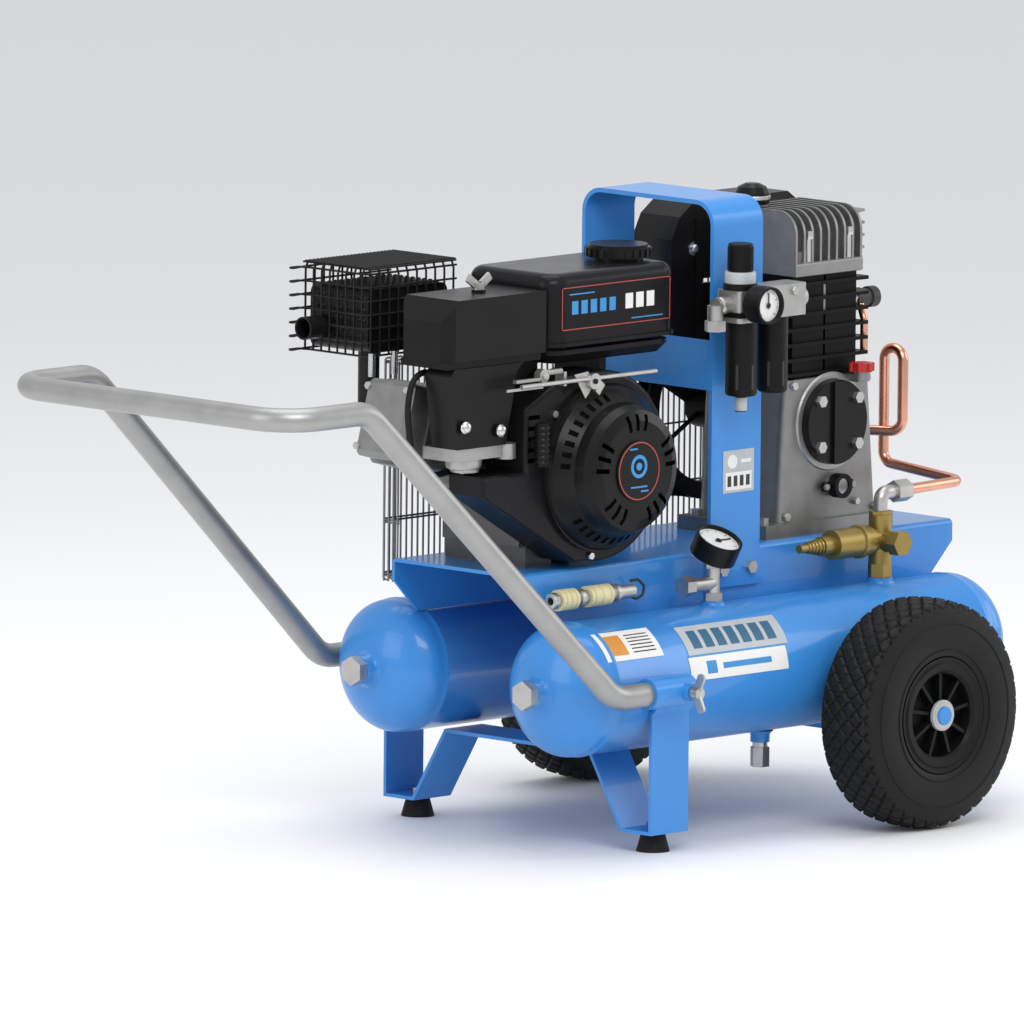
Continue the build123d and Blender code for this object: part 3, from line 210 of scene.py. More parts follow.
class Kit:
    """Collects simple solids, in millimetres, into one piece."""

    def __init__(self):
        self.verts = []
        self.faces = []

    def put(self, verts, faces):
        """Add vertices and the faces between them."""
        base = len(self.verts)
        self.verts.extend(verts)
        self.faces.extend([[base + i for i in f] for f in faces])

    def box(self, x0, x1, y0, y1, z0, z1, turn=None):
        """Box between two corners, moved by the matrix turn if there is one."""
        corners = [(x, y, z) for x in (x0, x1) for y in (y0, y1) for z in (z0, z1)]
        if turn is not None:
            corners = [tuple(turn @ Vector(c)) for c in corners]
        self.put(corners, BOX_FACES)

    def lathe(self, profile, origin, axis, segments=48, closed=False):
        """Turn (radius, station) points about an axis through the origin."""
        axis = Vector(axis).normalized()
        side = axis.orthogonal().normalized()
        other = axis.cross(side)
        origin = Vector(origin)
        rows = len(profile)
        verts = []
        for i in range(segments):
            a = 2 * math.pi * i / segments
            d = side * math.cos(a) + other * math.sin(a)
            verts.extend([tuple(origin + axis * s + d * r) for r, s in profile])
        faces = []
        last = rows if closed else rows - 1
        for i in range(segments):
            n = (i + 1) % segments
            for j in range(last):
                k = (j + 1) % rows
                faces.append((i * rows + j, i * rows + k, n * rows + k, n * rows + j))
        self.put(verts, faces)

    def disc(self, r, origin, axis, thick, segments=32):
        """Round plate with bevelled rims."""
        low, high = 0.3, thick - 0.3
        profile = [(0.01, 0), (r - low, 0), (r, low), (r, high), (r - low, thick), (0.01, thick)]
        self.lathe(profile, origin, axis, segments)

    def hexagon(self, flats, origin, axis, height):
        """Bolt head, flats across its sides, with a chamfered top."""
        r = flats / math.sqrt(3)
        profile = [(0.01, 0), (r * 0.97, 0), (r, 0.5), (r, height - 1.2), (r * 0.88, height), (0.01, height)]
        self.lathe(profile, origin, axis, 6)

    def prism(self, outline, x0, x1):
        """Convex (y, z) outline extruded along X."""
        n = len(outline)
        self.put([(x, y, z) for x in (x0, x1) for y, z in outline],
                 [list(range(n))[::-1], list(range(n, 2 * n))]
                 + [(i, (i + 1) % n, n + (i + 1) % n, n + i) for i in range(n)])

    def make(self, name, key, body="frame", smooth=True, angle=35):
        return add_mesh(name, self.verts, self.faces, key, body, smooth, angle)


def rounded(points, radius, steps=8):
    """Polyline with its corners replaced by arcs."""
    pts = [Vector(p) for p in points]
    out = [pts[0]]
    for a, b, c in zip(pts, pts[1:], pts[2:]):
        u = (a - b).normalized()
        v = (c - b).normalized()
        half = u.angle(v) / 2
        cut = min(radius / math.tan(half), (a - b).length * 0.49, (c - b).length * 0.49)
        r = cut * math.tan(half)
        centre = b + (u + v).normalized() * (r / math.sin(half))
        p, q = b + u * cut - centre, b + v * cut - centre
        total = p.angle(q)
        for i in range(steps + 1):
            t = i / steps
            w = (p * math.sin((1 - t) * total) + q * math.sin(t * total)) / math.sin(total)
            out.append(centre + w)
    out.append(pts[-1])
    return out


def wires(name, runs, r, key, body="frame", resolution=4):
    """Round wires or tubes along polylines, as one mesh piece."""
    curve = bpy.data.curves.new(name, "CURVE")
    curve.dimensions = "3D"
    curve.bevel_depth = r * MM
    curve.bevel_resolution = resolution
    curve.use_fill_caps = True
    for run in runs:
        spline = curve.splines.new("POLY")
        spline.points.add(len(run) - 1)
        for point, p in zip(spline.points, run):
            point.co = (p[0] * MM, p[1] * MM, p[2] * MM, 1)
        spline.use_smooth = True
    holder = bpy.data.objects.new(name + "_curve", curve)
    bpy.context.scene.collection.objects.link(holder)
    bpy.context.view_layer.update()
    mesh = bpy.data.meshes.new_from_object(holder.evaluated_get(bpy.context.evaluated_depsgraph_get()))
    bpy.data.objects.remove(holder)
    mesh.name = name
    obj = bpy.data.objects.new(name, mesh)
    bpy.context.scene.collection.objects.link(obj)
    mesh.shade_smooth()
    mesh.set_sharp_from_angle(angle=math.radians(50))
    paint(obj, key)
    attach(obj, body)
    return obj


# ---------------------------------------------------------------- tanks and running gear


TANK_X0, TANK_X1, TANK_R, TANK_DOME, TANK_Y, TANK_Z = -76, 547, 75, 45, 133, 184
WHEEL_X, WHEEL_Y, WHEEL_Z = 369, 256, 130
CRANK_Z = 427


def tank_kit(y):
    """Shell between two weld seams, with rounded ends and a plug boss at each."""
    kit = Kit()
    x0, x1, r, dome = TANK_X0, TANK_X1, TANK_R, TANK_DOME
    profile = [(0.01, x0 - dome)]
    for i in range(1, 25):
        a = math.pi / 2 * i / 24
        profile.append((r * math.sin(a), x0 - dome * math.cos(a)))
    for seam in (x0 + 10, x1 - 10):
        profile += [(r, seam - 4), (r + 0.9, seam - 2), (r + 1.2, seam), (r + 0.9, seam + 2), (r, seam + 4)]
    for i in range(0, 24):
        a = math.pi / 2 * (1 - i / 24)
        profile.append((r * math.sin(a), x1 + dome * math.cos(a)))
    profile.append((0.01, x1 + dome))
    kit.lathe(profile, (0, y, TANK_Z), (1, 0, 0), 160)
    for base, tip in ((x0 - 43, x0 - 58), (x1 + 43, x1 + 58)):
        sign = 1 if tip > base else -1
        kit.lathe([(22, 0), (18, 3), (16.4, 6), (16, 13), (15, 14.6), (9, 14.8)],
                  (base, y, TANK_Z), (sign, 0, 0), 48)
    return kit


near = tank_kit(-TANK_Y)
for x, r, h in ((160, 13, 4), (433, 15, 6)):
    near.lathe([(r + 4, -3), (r + 1, 0), (r, 2), (r, h), (0.01, h)],
               (x, -TANK_Y, TANK_Z + TANK_R), UP, 40)
near.lathe([(15, 0), (12, 3), (11, 5), (11, 13), (6, 13)],
           (240, -TANK_Y, TANK_Z - TANK_R), (0, 0, -1), 40)
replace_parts(near.make("tank_near_skin", "blue"), "tank_near")
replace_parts(tank_kit(TANK_Y).make("tank_far_skin", "blue"), "tank_far")

# The handle's centreline from the socket end to the grip, one arm; the other mirrors it.
ARM = [(22, 227, 186), (-97, 227, 186), (-479, 214, 538), (-603.5, 214, 538)]
HANDLE_R, HANDLE_BEND = 13.5, 48
handle_line = rounded([(x, -y, z) for x, y, z in ARM] + ARM[::-1], HANDLE_BEND, 16)
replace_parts(wires("handle_tube", [handle_line], HANDLE_R, "tube", "handle", 10), "handle")


TYRE_R = 130
CROWN_Y = 26
BLOCK_PITCH = 10.4
GROOVE_DEPTH = 2.7
TYRE_COUNT = 512


def tyre_profile():
    """(radius, y, groove weight) from one bead over the crown to the other."""
    wall = [(66, 20), (66, 33), (67, 37), (70, 38.6), (78, 40.2), (88, 41), (98, 40.8), (108, 39.2),
            (114, 37.6)]
    half = [(r, y, 0.0) for r, y in wall]
    steps = 16
    for i in range(steps + 1):
        t = i / steps
        a = math.radians(12 + 78 * t)
        half.append((116 + 13.8 * math.sin(a) - 2.0, CROWN_Y + 11.2 * math.cos(a), min(1.0, t * 2.2)))
    for i in range(1, 12):
        half.append((127.9 + 2.0 * math.sin(math.pi / 2 * i / 11), CROWN_Y - CROWN_Y * i / 11, 1.0))
    return half + [(r, -y, w) for r, y, w in half[-2::-1]]


def tyre_mesh(name, side, body):
    """Tyre with diamond blocks over the crown and shoulders, each block standing above its grooves."""
    profile = tyre_profile()
    verts, faces = [], []
    run = [0.0]
    for a, b in zip(profile, profile[1:]):
        run.append(run[-1] + math.hypot(a[0] - b[0], a[1] - b[1]))
    middle = run[-1] / 2
    blocks = round(2 * math.pi * 128 / (2 * BLOCK_PITCH))
    for i in range(TYRE_COUNT):
        turn = i / TYRE_COUNT
        c, s = math.cos(2 * math.pi * turn), math.sin(2 * math.pi * turn)
        along = turn * blocks
        for (r, y, w), d in zip(profile, run):
            across = (d - middle) / (2 * BLOCK_PITCH)
            p = (along + across) % 1.0
            q = (along - across) % 1.0
            edge = min(p, 1 - p, q, 1 - q)
            lift = min(1.0, max(0.0, (edge - 0.07) / 0.05))
            rr = min(float(TYRE_R), r) - GROOVE_DEPTH * w * (1 - lift)
            yy = side * WHEEL_Y + y * (1 - 0.02 * w * (1 - lift))
            verts.append((WHEEL_X + rr * s, yy, WHEEL_Z + rr * c))
    rows = len(profile)
    for i in range(TYRE_COUNT):
        n = (i + 1) % TYRE_COUNT
        for j in range(rows - 1):
            faces.append((i * rows + j, i * rows + j + 1, n * rows + j + 1, n * rows + j))
        faces.append((i * rows + rows - 1, i * rows, n * rows, n * rows + rows - 1))
    return add_mesh(name, verts, faces, "tyre", body, True, 40)


for label, side in (("near", -1), ("far", 1)):
    wheel_body = "wheel_" + label
    centre, outward = (WHEEL_X, side * WHEEL_Y, WHEEL_Z), (0, side, 0)
    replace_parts(tyre_mesh("tyre_skin_" + label, side, wheel_body), "tyre_" + label)
    trim = Kit()
    for r in (74, 86, 104):
        trim.lathe([(r - 0.8, 0), (r - 0.5, 0.7), (r + 0.5, 0.7), (r + 0.8, 0)],
                   (WHEEL_X, side * (WHEEL_Y + 40.0), WHEEL_Z), outward, 128)
    trim.make("tyre_rings_" + label, "tyre", wheel_body)
    rim = Kit()
    rim.lathe([(10.2, 34), (17.5, 34), (17.5, 22), (46, 19), (47.5, 34), (51, 37.4), (58, 38.4), (60, 36.6),
               (65.5, 37.6), (65.5, 33), (57, 24), (57, -24), (65.5, -33), (65.5, -37), (58, -38), (48, -34),
               (46, -19), (17.5, -22), (17.5, -40), (10.2, -40)], centre, outward, 128, True)
    for step in range(9):
        m = Matrix.Translation(centre) @ Matrix.Rotation(math.radians(40 * step), 4, "Y")
        rim.box(-1.9, 1.9, *sorted((side * 18, side * 32.5)), 16, 48, m)
        rim.box(-1.9, 1.9, *sorted((side * -32, side * -18)), 16, 48, m)
    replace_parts(rim.make("rim_face_" + label, "plastic", wheel_body), "rim_" + label)
    sleeve = Kit()
    sleeve.lathe([(11.2, 36), (11.2, 38.2), (16, 38.6), (17.4, 37.6), (17.4, 20), (11.2, 20)],
                 centre, outward, 64)
    sleeve.make("hub_sleeve_" + label, "plate", wheel_body)
    cap = Kit()
    cap.lathe([(10.9, 30), (10.9, 39.2), (10.3, 40.5), (9.6, 40.8)], centre, outward, 48)
    cap.make("axle_end_" + label, "blue", "frame")


# ---------------------------------------------------------------- wire guards


CAGE_X0, CAGE_X1, CAGE_Y0, CAGE_Y1, CAGE_Z = -206, -64, 54, 156, 551

cage = []
for level in range(7):
    z = CAGE_Z + 15.3 * level
    run = [(CAGE_X1, CAGE_Y0, z), (CAGE_X0, CAGE_Y0, z), (CAGE_X0, CAGE_Y1, z), (CAGE_X1, CAGE_Y1, z)]
    cage.append(rounded(run, 9, 6))
    bent_end = [(CAGE_X0 + 6, CAGE_Y1, z), (CAGE_X0 - 12, CAGE_Y1 + 2, z - 1.2),
                (CAGE_X0 - 20, CAGE_Y1 + 2, z), (CAGE_X0 - 12, CAGE_Y1 - 6, z + 1.4),
                (CAGE_X0, CAGE_Y1 - 12, z)]
    cage.append(rounded(bent_end, 4, 5))
for step in range(10):
    x = CAGE_X0 + 6 + 14.6 * step
    for y, lean in ((CAGE_Y0, 3), (CAGE_Y1, -3)):
        cage.append([(x, y, CAGE_Z), (x, y, 640), (x, y + lean, 648)])
for step in range(8):
    y = CAGE_Y0 + 8 + 12.6 * step
    cage.append([(CAGE_X0, y, CAGE_Z), (CAGE_X0, y, 640), (CAGE_X0 + 3, y, 648)])
for step in range(27):
    y = CAGE_Y0 + 1 + 3.9 * step
    cage.append([(CAGE_X0 + 3, y, 648.2), (CAGE_X1, y, 648.2)])
for step in range(24):
    x = CAGE_X0 + 4 + 6 * step
    cage.append([(x, CAGE_Y0 + 2, 649.4), (x, CAGE_Y1 - 2, 649.4)])
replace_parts(wires("muffler_cage", cage, 1.25, "sheet", "frame", 2), "muffler_guard")

GUARD_X0, GUARD_X1, GUARD_Y = -106, 530, 127
LOW_TOP, HIGH_TOP = 533, 600


def guard_top(x):
    """Height of the belt guard's mesh: low over the engine, sloping up to the hood."""
    if x < 100:
        return LOW_TOP
    return HIGH_TOP if x > 292 else LOW_TOP + (x - 100) * (HIGH_TOP - LOW_TOP) / 192


mesh_runs = []
for z in (290, 292.4, 350, 353, 420, 480, 530):
    mesh_runs.append(rounded([(GUARD_X1, GUARD_Y, z), (GUARD_X0, GUARD_Y, z), (GUARD_X0, 99, z)], 9, 6))
for step in range(70):
    x = GUARD_X0 + 6 + 9.0 * step
    top = guard_top(x)
    mesh_runs.append(rounded([(x, GUARD_Y - 5, 284), (x, GUARD_Y + 1.2, 285), (x, GUARD_Y + 1.2, top),
                              (x, GUARD_Y - 6, top + 2)], 2.5, 3))
for y in (100, 107, 114, 121):
    mesh_runs.append([(GUARD_X0 - 0.8, y, 284), (GUARD_X0 - 0.8, y, LOW_TOP)])
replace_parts(wires("belt_guard_mesh", mesh_runs, 1.2, "wire", "frame", 2), "guard_mesh")

# The discharge pipe's corners, from the pilot valve's elbow to the pump head.
COPPER = [(467, -133, 360), (566, -133, 362), (566, -12, 372), (566, -12, 503), (566, -41, 503),
          (566, -41, 409), (534, 20, 409), (534, 20, 613), (485, 20, 613)]
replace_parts(wires("copper_line", [rounded(COPPER, 14, 10)], 5.95, "copper", "frame", 8), "copper_pipe")


# ---------------------------------------------------------------- engine dressing


screws = Kit()
for x, z in ((-214, 488), (-158, 480)):
    screws.lathe([(7.5, 0), (7.5, 1.2), (6.8, 2.4), (5, 4.6), (2.5, 5.6), (0.01, 5.8)],
                 (x, -107.8, z), OUT_Y, 32)
for a in (20, 140, 260):
    c, s = math.cos(math.radians(a)), math.sin(math.radians(a))
    screws.hexagon(8, (101 * c, -112, CRANK_Z + 101 * s), OUT_Y, 4)
screws.hexagon(12, (-40, -60, 329), UP, 5)
screws.make("engine_screws", "chrome")

ribs = Kit()
for step in range(6):
    z = 436 + 11 * step
    ribs.box(-160, -123, -58, -47, z, z + 4)
for step in range(4):
    ribs.box(-236, -90, -101.6, -101, 553.5 + 1.9 * step, 554.4 + 1.9 * step)
ribs.make("shroud_louvres", "satin", "frame", False)

badge = Kit()
badge.lathe([(32.6, 0), (32.6, 0.35), (31.3, 0.35), (31.3, 0)], (0, -170, CRANK_Z), OUT_Y, 96, True)
badge.make("badge_ring", "edge")
mark = Kit()
mark.lathe([(13, 0), (13, 0.3), (9, 0.3), (9, 0)], (0, -170, 432), OUT_Y, 64, True)
mark.disc(4.5, (0, -170, 432), OUT_Y, 0.35)
for x, z, w in ((0, 409, 13), (-9, 452, 6), (9, 404, 6)):
    mark.box(x - w, x + w, -170.35, -170, z - 0.9, z + 0.9)
mark.make("badge_mark", "sky")

# Plain decal on the fuel tank's side: a thin frame with bars and blocks.
DECAL_X0, DECAL_X1, DECAL_Z0, DECAL_Z1, DECAL_LINE = -62, 112, 583, 631, 1.1
FUEL_TANK_Y, DECAL_Y = -108, -108.3
MARK_Y = DECAL_Y - 0.1
frame_line = Kit()
for x0, x1, z0, z1 in ((DECAL_X0, DECAL_X1, DECAL_Z0, DECAL_Z0 + DECAL_LINE),
                       (DECAL_X0, DECAL_X1, DECAL_Z1 - DECAL_LINE, DECAL_Z1),
                       (DECAL_X0, DECAL_X0 + DECAL_LINE, DECAL_Z0, DECAL_Z1),
                       (DECAL_X1 - DECAL_LINE, DECAL_X1, DECAL_Z0, DECAL_Z1)):
    frame_line.box(x0, x1, DECAL_Y, FUEL_TANK_Y, z0, z1)
frame_line.make("tank_decal_frame", "edge", "frame", False)
stripes = Kit()
for step in range(5):
    stripes.box(-46 + 15 * step, -36 + 15 * step, MARK_Y, FUEL_TANK_Y, 600, 615)
for x, w, z in ((-50, 40, 622), (50, 50, 588)):
    stripes.box(x, x + w, MARK_Y, FUEL_TANK_Y, z, z + 1.4)
stripes.make("tank_decal_bars", "sky", "frame", False)
light = Kit()
for step in range(3):
    light.box(40 + 17 * step, 52 + 17 * step, MARK_Y, FUEL_TANK_Y, 600, 617)
light.make("tank_decal_blocks", "white", "frame", False)

# The engine's lower sides and its two mount rails.
base = Kit()
for x in (-45, 25):
    base.box(x - 20.8, x + 20.8, -58.8, 64.8, 313.4, 336)
for y0, y1 in ((-56.9, -56.1), (62.1, 62.9)):
    base.box(-73, 79, y0, y1, 336, 392)
for x0, x1 in ((-73, -72.2), (78.2, 79)):
    base.box(x0, x1, -56.9, 62.9, 336, 392)
base.make("engine_base_skin", "dark_cast", "frame", False)
# Painted shade: a thin dark ring just behind the recoil cover's slots, standing in for the shade inside
# them.
slot_shade = Kit()
slot_shade.lathe([(36, 0), (92, 0), (92, 1), (36, 1)], (0, -120, CRANK_Z), OUT_Y, 96, True)
slot_shade.make("painted_slot_shade", "ink", "frame", False)

levers = Kit()
levers.box(-162, -104, -121, -119.4, 524, 527)
levers.box(-150, -112, -124, -118, 533, 536.5)
levers.lathe([(3.2, 0), (7.5, 0), (7.5, 9), (3.2, 9)], (-104, -114, 538), OUT_Y, 32, True)
for i in range(9):
    levers.lathe([(2.4, 0), (3.4, 0.9), (2.4, 1.8)], (-98 + 2.6 * i, -121, 541), (1, 0, 0), 20)
levers.box(-74, -70, -124, -110, 524, 540)
levers.hexagon(8, (-104, -123, 538), OUT_Y, 3)
levers.make("control_bracket", "zinc", "frame")
plate_outline = [(-62, 536), (-40, 538), (-30, 522), (-44, 508), (-52, 520)]
plate = Kit()
plate.put([(x, y, z) for y in (-128.6, -127.4) for x, z in plate_outline],
          [(0, 1, 2, 3, 4), (9, 8, 7, 6, 5),
           (0, 5, 6, 1), (1, 6, 7, 2), (2, 7, 8, 3), (3, 8, 9, 4), (4, 9, 5, 0)])
plate.make("governor_plate", "zinc", "frame", False)

plug = Kit()
plug.lathe([(0.01, 0), (7, 0), (9, 2), (9, 12), (7.5, 14), (0.01, 14.5)], (-186, -43, 514), OUT_Y, 40)
plug_obj = plug.make("spark_plug_cap", "rubber")
spark = Kit()
spark.lathe([(0.01, 0), (6.9, 0), (6.9, 21), (0.01, 21)], (-186, -22, 514), OUT_Y, 40)
spark.make("spark_plug", "zinc")

# The ignition lead's route in metres: out of the plug cap, over, and down to the coil behind the shroud.
LEAD = [(-0.186, -0.051, 0.516), (-0.198, -0.052, 0.534), (-0.220, -0.053, 0.548), (-0.244, -0.054, 0.540),
        (-0.252, -0.054, 0.508), (-0.247, -0.054, 0.470), (-0.238, -0.054, 0.440), (-0.210, -0.053, 0.428),
        (-0.180, -0.053, 0.431), (-0.150, -0.053, 0.436)]
LEAD_DIAMETER = 0.007
lead_curve = bpy.data.curves.new("spark_plug_lead", "CURVE")
lead_curve.dimensions = "3D"
lead_curve.bevel_depth = LEAD_DIAMETER / 2
lead_curve.bevel_resolution = 5
lead_curve.resolution_u = 16
lead_line = lead_curve.splines.new("NURBS")
lead_line.points.add(len(LEAD) - 1)
for control, at in zip(lead_line.points, LEAD):
    control.co = (*at, 1)
lead_line.order_u = 3
lead_line.use_endpoint_u = True
lead_obj = bpy.data.objects.new("spark_plug_lead", lead_curve)
bpy.context.scene.collection.objects.link(lead_obj)
paint(lead_obj, "rubber")
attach(lead_obj, "frame")
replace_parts(lead_obj, "plug_lead")

# Pressed dimples on the muffler's top and end, clear of the outlet.
OUTLET_Y, OUTLET_Z, OUTLET_CLEAR = 128, 578, 20
dimples = Kit()
for i in range(12):
    for j in range(9):
        x, y = -190 + 9.6 * i, 66 + 9.0 * j
        dimples.lathe([(3.6, 0), (2.6, 2.2), (0.01, 3.2)], (x, y, 623.8), UP, 10)
for i in range(9):
    for j in range(5):
        y, z = 66 + 9.0 * i, 566 + 12 * j
        if (y - OUTLET_Y) ** 2 + (z - OUTLET_Z) ** 2 > OUTLET_CLEAR ** 2:
            dimples.lathe([(3.4, 0), (2.4, 1.6), (0.01, 2.4)], (-197.9, y, z), (-1, 0, 0), 10)
dimples.make("muffler_dimples", "sheet")
# The cylinder leans back, and the valve cover with it.
cylinder_lean = Matrix.Translation((0, 0, CRANK_Z)) @ Matrix.Rotation(math.radians(15), 4, "Y")
cover_bolt = Kit()
for dy, dz in ((-30, -34), (30, -34), (-30, 34), (30, 34)):
    head_at = cylinder_lean @ Vector((-245.6, dy - 2, dz))
    cover_bolt.hexagon(8, tuple(head_at), tuple(cylinder_lean.to_3x3() @ Vector((-1, 0, 0))), 3.5)
cover_bolt.make("valve_cover_bolts", "zinc")
bowl = Kit()
bowl.lathe([(0.01, 434.4), (12, 434.4), (19, 438), (20.5, 442), (20.5, 448.8), (0.01, 448.8)],
           (-186, -78, 0), UP, 48)
bowl.hexagon(9, (-186, -78, 435.5), (0, 0, -1), 4)
bowl.make("carburettor_bowl", "cast_lit")
fins = Kit()
for step in range(9):
    z = 372 + 9.5 * step
    fins.box(-122, -74, -58.6, -56.2, z, z + 3.2)
fins.make("crankcase_ribs", "satin", "frame", False)

neck = Kit()
for side in (-1, 1):
    neck.lathe([(0.01, 0), (4, 0), (4, 26), (0.01, 26)], (-190 + 18 * side, 44, 530), UP, 20)
neck.make("muffler_studs", "chrome")

rope = Kit()
for i in range(7):
    rope.lathe([(8.3, 0), (8.9, 1.6), (8.3, 3.2)], (-112, -128, 441 + 6.4 * i), UP, 32)
rope.make("grip_ribs", "satin", "starter_grip")


# ---------------------------------------------------------------- pump dressing


def arch(y0, y1, z0, z1, radius, steps=8):
    """(y, z) outline of a slab whose two top corners are rounded."""
    outline = [(y0, z0)]
    for centre, start in ((y0 + radius, 180), (y1 - radius, 90)):
        for i in range(steps + 1):
            a = math.radians(start - 90 * i / steps)
            outline.append((centre + radius * math.cos(a), z1 - radius + radius * math.sin(a)))
    return outline + [(y1, z0)]


head = Kit()
head.prism(arch(-80, 44, 607, 622, 3), 346, 456)
head.prism(arch(-69, 33, 620, 662, 18), 352, 450)
for step in range(9):
    x = 347 + 13.2 * step
    head.prism(arch(-78.5, 42.5, 620, 680, 27), x, x + 3.4)
for step in range(4):
    z = 626 + 14 * step
    head.put([(x, y, h) for h in (z, z + 3) for x, y in ((455, -64), (488, -52), (488, 16), (455, 28))],
             [(3, 2, 1, 0), (4, 5, 6, 7), (0, 1, 5, 4), (1, 2, 6, 5), (2, 3, 7, 6), (3, 0, 4, 7)])
head.box(448, 458, -60, 24, 622, 672)
head.lathe([(12, 640), (20, 640), (20, 681), (12, 681)], (366, 8, 0), UP, 48, True)
head_obj = head.make("pump_head_cast", "cast")
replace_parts(head_obj, "pump_head")
studs = Kit()
for x in (372, 438):
    studs.lathe([(0.01, 622), (4.2, 622), (4.2, 652), (0.01, 652)], (x, -73.6, 0), UP, 24)
    studs.hexagon(11, (x, -73.6, 648), UP, 9)
studs.make("head_studs", "chrome")
hood_bolt = Kit()
hood_bolt.lathe([(8, 0), (8, 1.2), (5.2, 1.4), (5.0, 4), (3.6, 5.6), (0.01, 6)], (327, 62, 628), OUT_Y, 32)
hood_bolt.make("hood_screw", "chrome")

bezel = Kit()
for x in (391, 433):
    bezel.hexagon(7, (x, -88, 366), OUT_Y, 3.5)
bezel.hexagon(8, (446, -80, 345), OUT_Y, 6)
bezel.make("sight_screws", "zinc")
glass = Kit()
glass.disc(8.8, (412, -92.2, 366), OUT_Y, 2.2, 40)
glass.make("sight_window", "chrome")
seam = Kit()
for z in (606.2, 489.6):
    seam.box(347, 455, -79, 43, z, z + 1.3)
seam.make("pump_gaskets", "ink", "frame", False)
boss = Kit()
for z in (484, 336):
    for x in ((343, 462) if z > 400 else (333, 478)):
        boss.hexagon(9, (x, -80, z), OUT_Y, 5)
boss.make("crankcase_screws", "zinc")
cover_ring = Kit()
cover_ring.lathe([(48.5, 0), (56, 0), (54.5, 2), (48.5, 2)], (405, -80, 439), OUT_Y, 96, True)
cover_ring.make("bearing_ring", "cast_lit")
filter_trim = Kit()
filter_trim.lathe([(20.1, 0), (20.9, 0.8), (20.9, 4), (20.1, 5)], (366, 8, 686), UP, 64)
filter_trim.lathe([(19.6, 0), (17, 6), (9, 11), (0.01, 12.2)], (366, 8, 692.6), UP, 64)
filter_trim.make("filter_lid_trim", "chrome")
relief = Kit()
relief.lathe([(0.01, 0), (12, 0), (12, 12), (10, 14), (10, 24), (12, 25), (12, 36), (9, 38), (0.01, 38)],
             (468, -52, 570), (1, 0, 0), 32)
relief.make("relief_valve_cap", "ink")
relief_nut = Kit()
relief_nut.hexagon(20, (456, -52, 570), (1, 0, 0), 13)
relief_nut.make("relief_valve_nut", "zinc")
stub_pipe = [(474, -60, 564), (474, -66, 548), (474, -66, 512)]
wires("relief_pipe", [rounded(stub_pipe, 8, 6)], 4.5, "copper")


# ---------------------------------------------------------------- gauges and air fittings


def dial(name, origin, axis, up, r):
    """White face, tick marks and a raised case rim around a pointer."""
    axis, up = Vector(axis).normalized(), Vector(up).normalized()
    across = up.cross(axis)
    origin = Vector(origin)
    face = Kit()
    face.lathe([(0.01, 0), (r, 0), (r, 0.25), (0.01, 0.25)], origin, axis, 64)
    face.make(name + "_face", "white")
    ticks = Kit()
    for step in range(41):
        a = math.radians(-135 + 270 * step / 40)
        d = up * math.cos(a) + across * math.sin(a)
        t = axis.cross(d)
        length = r * (0.20 if step % 10 == 0 else (0.13 if step % 5 == 0 else 0.08))
        wide = 0.5 if step % 5 == 0 else 0.25
        p = origin + d * (r * 0.93) + axis * 0.3
        q = p - d * length
        corners = (p + t * wide, p - t * wide, q - t * wide, q + t * wide)
        ticks.put([tuple(corner) for corner in corners], [(0, 1, 2, 3)])
    ticks.make(name + "_ticks", "ink", "frame", False)
    rim = Kit()
    rim.lathe([(r + 0.2, 0), (r + 0.2, 3.2), (r + 1.6, 4.0), (r + 3.0, 3.2), (r + 3.2, 0)], origin, axis, 64)
    rim.make(name + "_rim", "satin")


# The tank gauge leans back to face the user.
GAUGE_TILT = math.radians(28)
GAUGE_AXIS = (0, -math.sin(GAUGE_TILT), math.cos(GAUGE_TILT))
GAUGE_UP = (0, math.cos(GAUGE_TILT), math.sin(GAUGE_TILT))
dial("tank_dial", Vector((164, -TANK_Y, 322)) + Vector(GAUGE_AXIS) * 9.2, GAUGE_AXIS, GAUGE_UP, 24)
dial("regulator_dial", (190, -184.2, 598), OUT_Y, UP, 18)

REGULATOR_Y = -140
KNOB_AT = (192, REGULATOR_Y, 0)
KNOB_RIBS = 28
knob_ribs = Kit()
for i in range(KNOB_RIBS):
    m = Matrix.Translation(KNOB_AT) @ Matrix.Rotation(2 * math.pi * i / KNOB_RIBS, 4, "Z")
    knob_ribs.box(13.4, 14.7, -0.9, 0.9, 634, 660, m)
knob_ribs.make("knob_ribs", "plastic", "regulator_knob", False)
lock = Kit()
lock.lathe([(14.2, 619.4), (17.3, 619.4), (17.6, 621), (17.6, 630), (17.0, 632), (14.2, 632.4)],
           KNOB_AT, UP, 64)
lock.make("knob_lock_ring", "plate", "regulator_knob")
bonnet = Kit()
bonnet.lathe([(16, 611.8), (19.5, 612.5), (19.5, 618), (16, 619)], KNOB_AT, UP, 64)
bonnet.box(171.5, 212, -160.2, -121, 582, 588)
bonnet.make("regulator_bonnet", "plastic", "frame")
slots = Kit()
for x, r in ((195, 18), (246, 17)):
    for i in range(6):
        a = math.pi / 3 * i + 0.5
        m = Matrix.Translation((x, REGULATOR_Y, 0)) @ Matrix.Rotation(a, 4, "Z")
        slots.box(r - 0.4, r + 0.25, -1.5, 1.5, 500, 528, m)
slots.make("bowl_slots", "ink", "frame", False)
nub = Kit()
nub.lathe([(0.01, 473.6), (5.5, 473.6), (7, 476), (7, 490), (0.01, 491)], (195, REGULATOR_Y, 0), UP, 40)
nub.make("bowl_drain", "plate")
block = Kit()
for x in (232, 262):
    block.hexagon(9, (x, -157, 606), OUT_Y, 3)
block.hexagon(19, (284, REGULATOR_Y, 596), (1, 0, 0), 8.2)
block.lathe([(9.4, 0), (10, 1), (10, 9), (9.4, 10)], (156, REGULATOR_Y, 596), (1, 0, 0), 32)
block.make("regulator_screws", "zinc")

